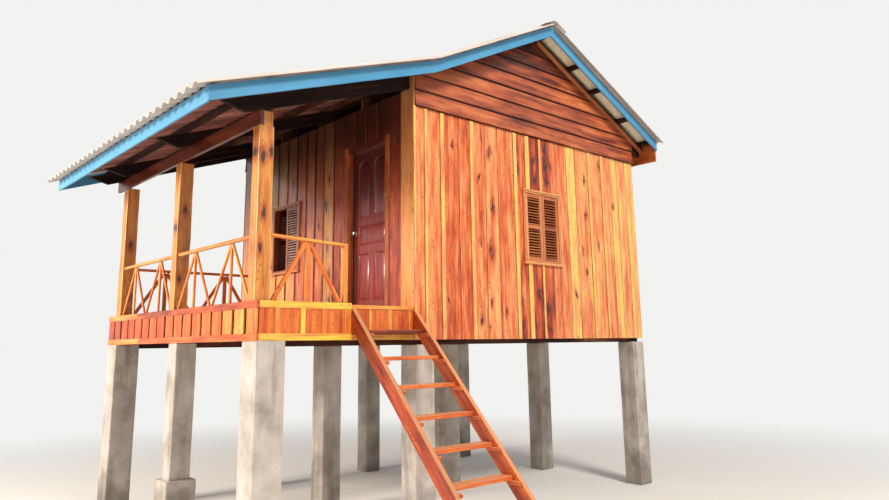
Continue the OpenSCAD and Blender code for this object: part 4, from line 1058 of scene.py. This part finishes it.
def plain_piece(work, name, finishes, nodes=(), body="house", smooth=35):
    """Closes a mesh that is built point by point, and makes it a piece."""
    bmesh.ops.recalc_face_normals(work, faces=work.faces[:])
    mesh = bpy.data.meshes.new(name)
    work.to_mesh(mesh)
    work.free()
    mesh.shade_smooth()
    mesh.set_sharp_from_angle(angle=math.radians(smooth))
    for finish in finishes:
        mesh.materials.append(finish)
    settle(mesh, name, nodes, body)


# Roof sheets: each slope has rows of lapped corrugated sheets


def roof_slope(name, node, slope, start, end, rows, underside):
    """Corrugated sheets of six waves, each lapping one wave of its neighbour and 120 mm of the row below."""
    work = bmesh.new()
    steps, thick, height = 10, 0.0065, 0.039
    way, up = slope_ways(*slope)
    origin = Vector((slope[0][0], 0, slope[0][1] + BARGE))
    length = (end - start + SHEET_LAP * (rows - 1)) / rows
    centre, half = LENGTH / 2, VERGE + SHEET_OUT + LENGTH / 2
    narrow = (half - 0.0006) / half
    for r in range(rows):
        foot = start + r * (length - SHEET_LAP)
        for first in range(0, WAVES - 2, 5):
            count = (min(first + 6, WAVES) - first) * steps
            skins = []
            for side in (0, 1):
                grid = []
                for s, share in enumerate((0.0, 0.095, 0.4, 0.7, 1.0)):
                    line = []
                    for k in range(count + 1):
                        h = height / 2 * (1 - math.cos(2 * math.pi * k / steps)) + side * thick
                        # a lapping sheet rises over its neighbour and over the row below
                        h += 0.002 + 0.006 * (k / count if first else 0.5) * 0.5 + 0.003 * (1 - s / 4) * (r > 0)
                        place = origin + way * (foot + length * share) + up * h
                        place.y = centre + ((first + k / steps) * WAVE - half) * narrow
                        line.append(work.verts.new(spot(*place)))
                    grid.append(line)
                skins.append(grid)
            low, high = skins
            for s in range(4):
                for k in range(count):
                    work.faces.new((high[s][k], high[s + 1][k], high[s + 1][k + 1], high[s][k + 1]))
                    # the waves over the barge boards and the eave are as bleached below as above
                    covered = r + s and 1.1 < first + (k + 0.5) / steps < WAVES - 1.1
                    skin = work.faces.new((low[s][k], low[s][k + 1], low[s + 1][k + 1], low[s + 1][k]))
                    skin.material_index = int(covered)
            for k in range(count):
                work.faces.new((low[0][k], high[0][k], high[0][k + 1], low[0][k + 1]))
                work.faces.new((low[4][k], low[4][k + 1], high[4][k + 1], high[4][k]))
            for s in range(4):
                work.faces.new((low[s][0], low[s + 1][0], high[s + 1][0], high[s][0]))
                work.faces.new((low[s][count], high[s][count], high[s + 1][count], low[s + 1][count]))
    plain_piece(work, name, (sheeting, underside), [node], smooth=50)


for place, slope, start, past, rows, underside in (
    ("porch", PORCH_SLOPE, -0.1195 / math.cos(tilt_of(*PORCH_SLOPE)), -0.01, 2, dark_red_brown_underside),
    ("front", FRONT_SLOPE, 0.0005, -0.01, 1, beige_underside_with_painted_light),
    ("back", BACK_SLOPE, 0.04, 0.0595 / math.cos(tilt_of(*BACK_SLOPE)), 2, beige_underside_with_painted_light),
):
    end = (slope[1][0] - slope[0][0]) / math.cos(tilt_of(*slope)) + past
    roof_slope(place + "_roof_sheet_rows", place + "_roof_sheets", slope, start, end, rows, underside)

# Door: a raised field and a bead in each panel, on both faces of the leaf


def panel_ring(work, panel, inset, x):
    """A loop of points round a door panel, inset from its edge; an arched panel has a half-round head."""
    y0, y1, z0, z1, arched = panel
    y0, y1, z0, z1 = y0 + inset, y1 - inset, z0 + inset, z1 - inset
    loop = [(y0, z0), (y1, z0)]
    if arched:
        half = (y1 - y0) / 2
        turns = [math.pi * i / 16 for i in range(17)]
        loop += [((y0 + y1) / 2 + half * math.cos(a), z1 - half + half * math.sin(a)) for a in turns]
    else:
        loop += [(y1, z1), (y0, z1)]
    return [work.verts.new((x, y, z)) for y, z in loop]


def skin_rings(work, rings, closed=False):
    """Faces between rings of points; the ends are capped, or joined to each other when closed."""
    for near, far in zip(rings, rings[1:] + rings[:1] if closed else rings[1:]):
        for i in range(len(near)):
            j = (i + 1) % len(near)
            work.faces.new((near[i], near[j], far[j], far[i]))
    if not closed:
        work.faces.new(rings[0])
        work.faces.new(rings[-1])


leaf_low, leaf_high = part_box("front_door")
STILE, MULLION, SUNK = 0.102, 0.092, 0.009
pane = (leaf_high.y - leaf_low.y - 2 * STILE - MULLION) / 2
low_foot = leaf_low.z + 0.112
low_head = low_foot + 0.588
mid_foot, mid_head = low_head + 0.094, low_head + 0.094 + 0.254
top_foot, top_head = mid_head + 0.094, leaf_high.z - STILE
panels = [(leaf_low.y + STILE, leaf_high.y - STILE, mid_foot, mid_head, False)]
for y in (leaf_low.y + STILE, leaf_high.y - STILE - pane):
    panels += [(y, y + pane, low_foot, low_head, False), (y, y + pane, top_foot, top_head, True)]
# each outline point is (in from the panel's edge, up from its floor)
field = [(0.016, 0.0), (0.018, 0.002), (0.042, 0.0065), (0.046, 0.0075)]
bead = [(0.0002, 0.0), (0.0002, 0.008), (0.004, 0.0085), (0.007, 0.006), (0.0105, 0.003), (0.012, 0.0)]
work = bmesh.new()
for panel in panels:
    for face, way in ((leaf_low.x, 1.0), (leaf_high.x, -1.0)):
        for outline, closed in ((field, False), (bead, True)):
            rings = [panel_ring(work, panel, inset, face + way * SUNK - way * up) for inset, up in outline]
            skin_rings(work, rings, closed)
plain_piece(work, "door_panel_fields", (door_gloss,), body="door")

# Door knobs turned on a rose plate: each outline point is (out from the leaf, radius)
knob_low, knob_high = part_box("door_knobs")
work = bmesh.new()
turning = [
    (0.0, 0.03), (0.003, 0.03), (0.005, 0.027), (0.006, 0.013), (0.012, 0.01), (0.028, 0.011),
    (0.031, 0.019), (0.036, 0.0245), (0.043, 0.026), (0.05, 0.0235), (0.0545, 0.015), (0.056, 0.006),
]
turns = [2 * math.pi * i / 32 for i in range(32)]
y, z = (knob_low.y + knob_high.y) / 2, (knob_low.z + knob_high.z) / 2
for face, way in ((leaf_low.x, -1.0), (leaf_high.x, 1.0)):
    skin_rings(work, [
        [work.verts.new((face + way * out, y + radius * math.cos(a), z + radius * math.sin(a))) for a in turns]
        for out, radius in turning
    ])
plain_piece(work, "turned_door_knobs", (steel,), ["door_knobs"], "door")

# Ridge: folded caps about a metre long, each end under the next one's, rounded over 60 mm at the crown
cap_low, cap_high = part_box("ridge_cap")
work = bmesh.new()
cap_count, cap_lap, cap_thick, crown = 7, 0.07, 0.007, spot(RIDGE, 0, 0)
cap_long = (cap_high.y - cap_low.y - 0.001 + (cap_count - 1) * cap_lap) / cap_count
wing = (cap_high.x - cap_low.x) / 2 - 0.001
for i in range(cap_count):
    rings = []
    start = cap_low.y + 0.0005 + i * (cap_long - cap_lap)
    for share in (0.0, 0.02, 0.5, 0.98, 1.0):
        outline = []
        for skin, way in ((0.0, 1), (-cap_thick, -1)):
            row = []
            for k in range(-8, 9):
                out = abs(k / 8) * wing
                tilt = math.tan(tilt_of(*FRONT_SLOPE)) if k < 0 else -math.tan(tilt_of(*BACK_SLOPE))
                drop = max(out - 0.03, 0.0) + min(out, 0.03) ** 2 / 0.06
                row.append((crown.x + k / 8 * wing, cap_high.z - 0.0055 - drop * tilt + 0.004 * share + skin))
            outline += row[::way]
        rings.append([work.verts.new((x, start + share * cap_long, z)) for x, z in outline])
    skin_rings(work, rings)
plain_piece(work, "lapped_ridge_caps", (sheeting,), ["ridge_cap"])


def nail_tree():
    """Geometry Nodes that put a domed nail with its washer on each mark."""
    sockets = {"Marks": "Geometry", "Washer": "Float", "Head": "Float", "Finish": "Material"}
    tree, given = new_tree("roof_nails", "Nails", sockets)
    turn = add(tree, "GeometryNodeInputNamedAttribute", {"Name": "turn"}, data_type="FLOAT_VECTOR")
    plate = {"Vertices": 10, "Radius": given["Washer"], "Depth": 0.003}
    plate = add(tree, "GeometryNodeMeshCylinder", plate)
    dome = add(tree, "GeometryNodeMeshUVSphere", {"Segments": 8, "Rings": 4, "Radius": given["Head"]})
    dome = add(tree, "GeometryNodeTransform", {"Geometry": dome, "Scale": (1.0, 1.0, 0.6)})
    both = tree.nodes.new("GeometryNodeJoinGeometry")
    for shape in (plate, dome):
        tree.links.new(shape, both.inputs[0])
    turn = add(tree, "FunctionNodeEulerToRotation", (turn,))
    made = {"Points": given["Marks"], "Instance": both.outputs[0], "Rotation": turn}
    made = add(tree, "GeometryNodeRealizeInstances", (add(tree, "GeometryNodeInstanceOnPoints", made),))
    made = add(tree, "GeometryNodeSetMaterial", {"Geometry": made, "Material": given["Finish"]})
    add(tree, "NodeGroupOutput", (made,))
    return tree


nail_spots, nail_turns = [], []
for x, z, slope, way, up in purlin_lines:
    # the purlins beside the ridge lie under the caps
    for j in range(1, WAVES, 3) if abs(x - RIDGE) > 0.1 else ():
        place = Vector((x, (j + 0.5) * WAVE - VERGE - SHEET_OUT, z + BARGE))
        nail_spots.append(spot(*(place + way * 0.02 + up * 0.0515)))
        nail_turns.append((0.0, -tilt_of(*slope), 0.0))
marks = bpy.data.meshes.new("roof_nails")
marks.from_pydata(nail_spots, [], [])
marks.attributes.new("turn", "FLOAT_VECTOR", "POINT").data.foreach_set("vector", np.array(nail_turns).ravel())
mesh = grown("roof_nails", marks, nail_tree(), {"Washer": 0.014, "Head": 0.008, "Finish": steel})
settle(mesh, "domed_roof_nails")

# The door's own solids that show keep their shape, with the same finishes
for name, finish in (("front_door", door_gloss), ("door_hinges", steel), ("hinge_pins", steel)):
    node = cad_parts[name]
    node.data.materials.clear()
    node.data.materials.append(finish)

# Camera as the photograph was taken, with a small shift for its framing; the eye is in house measures
YAW, PITCHED, ROLL, EYE = 0.7342, 0.1926, -0.0143, (-5.0596, -6.1036, -0.0591)
IMAGE_W, IMAGE_MID, FOCAL, LEVEL, SENSOR = 889, 250.0, 715.18, 205.3, 36.0
ahead = Vector((math.sin(YAW) * math.cos(PITCHED), math.cos(YAW) * math.cos(PITCHED), math.sin(PITCHED)))
right = Vector((math.cos(YAW), -math.sin(YAW), 0.0))
top = right.cross(ahead)
right, top = math.cos(ROLL) * right + math.sin(ROLL) * top, -math.sin(ROLL) * right + math.cos(ROLL) * top
lens = bpy.data.cameras.new("camera")
lens.sensor_width, lens.lens, lens.clip_end = SENSOR, FOCAL / IMAGE_W * SENSOR, 200.0
lens.shift_y = -(IMAGE_MID - LEVEL) / IMAGE_W
camera = placed("camera", lens)
camera.matrix_world = Matrix.Translation(spot(*EYE)) @ Matrix((right, top, -ahead)).transposed().to_4x4()
scene.camera = camera

# Floor, sky light and lamps
BACKDROP = ink("F2F2F0")
floor_mesh = bpy.data.meshes.new("studio_floor")
floor_mesh.from_pydata([(-60, -60, 0), (60, -60, 0), (60, 60, 0), (-60, 60, 0)], [], [(0, 1, 2, 3)])
placed("studio_floor", floor_mesh)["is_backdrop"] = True
pale, tree, shader = new_finish("pale_matt_floor", Base_Color=ink("F0EEEA"), Roughness=0.9)
floor_mesh.materials.append(pale)
# far from the house the floor shows the backdrop's own colour, so that no horizon is seen
far = add(tree, VECT, (add(tree, COORD, out="Object"),), "Value", operation="LENGTH")
far = add(tree, RANGE, (far, 4.5, 13.0), **SMOOTH)
far = add(tree, MATH, (far, add(tree, "ShaderNodeLightPath", out="Is Camera Ray")), operation="MULTIPLY")
glow = add(tree, "ShaderNodeEmission", {"Color": BACKDROP, "Strength": 1.0})
blend = add(tree, "ShaderNodeMixShader", (far, shader.outputs[0], glow))
tree.links.new(blend, tree.nodes["Material Output"].inputs["Surface"])

scene.world = bpy.data.worlds.new("studio_sky")
scene.world.use_nodes = True
tree = scene.world.node_tree
tree.nodes.clear()
paths = add(tree, "ShaderNodeLightPath", out=None)
seen = add(tree, MATH, (paths["Is Camera Ray"], paths["Is Glossy Ray"]), operation="MAXIMUM")
seen = add(tree, MATH, (seen, paths["Is Transmission Ray"]), operation="MAXIMUM")
lit = add(tree, "ShaderNodeBackground", {"Color": ink("FFFFFF"), "Strength": 0.42})
backdrop = add(tree, "ShaderNodeBackground", {"Color": BACKDROP, "Strength": 1.0})
add(tree, "ShaderNodeOutputWorld", {"Surface": add(tree, "ShaderNodeMixShader", (seen, lit, backdrop))})

for name, place, target, size, power, colour in (
    ("key", (-1.6, -14.6, 15.0), (0, 0, 3.0), 4.0, 2900.0, "FFF8EE"),
    ("side", (-12.5, 3.0, 6.6), (-1.0, 0.5, 2.6), 3.0, 1850.0, "FFF4E6"),
):
    light = bpy.data.lights.new(name, "AREA")
    light.size, light.energy, light.color = size, power, ink(colour)[:3]
    lamp = placed(name, light)
    lamp.location = place
    lamp.rotation_euler = (Vector(target) - Vector(place)).to_track_quat("-Z", "Y").to_euler()

scene.view_settings.view_transform = "Standard"
low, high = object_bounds()
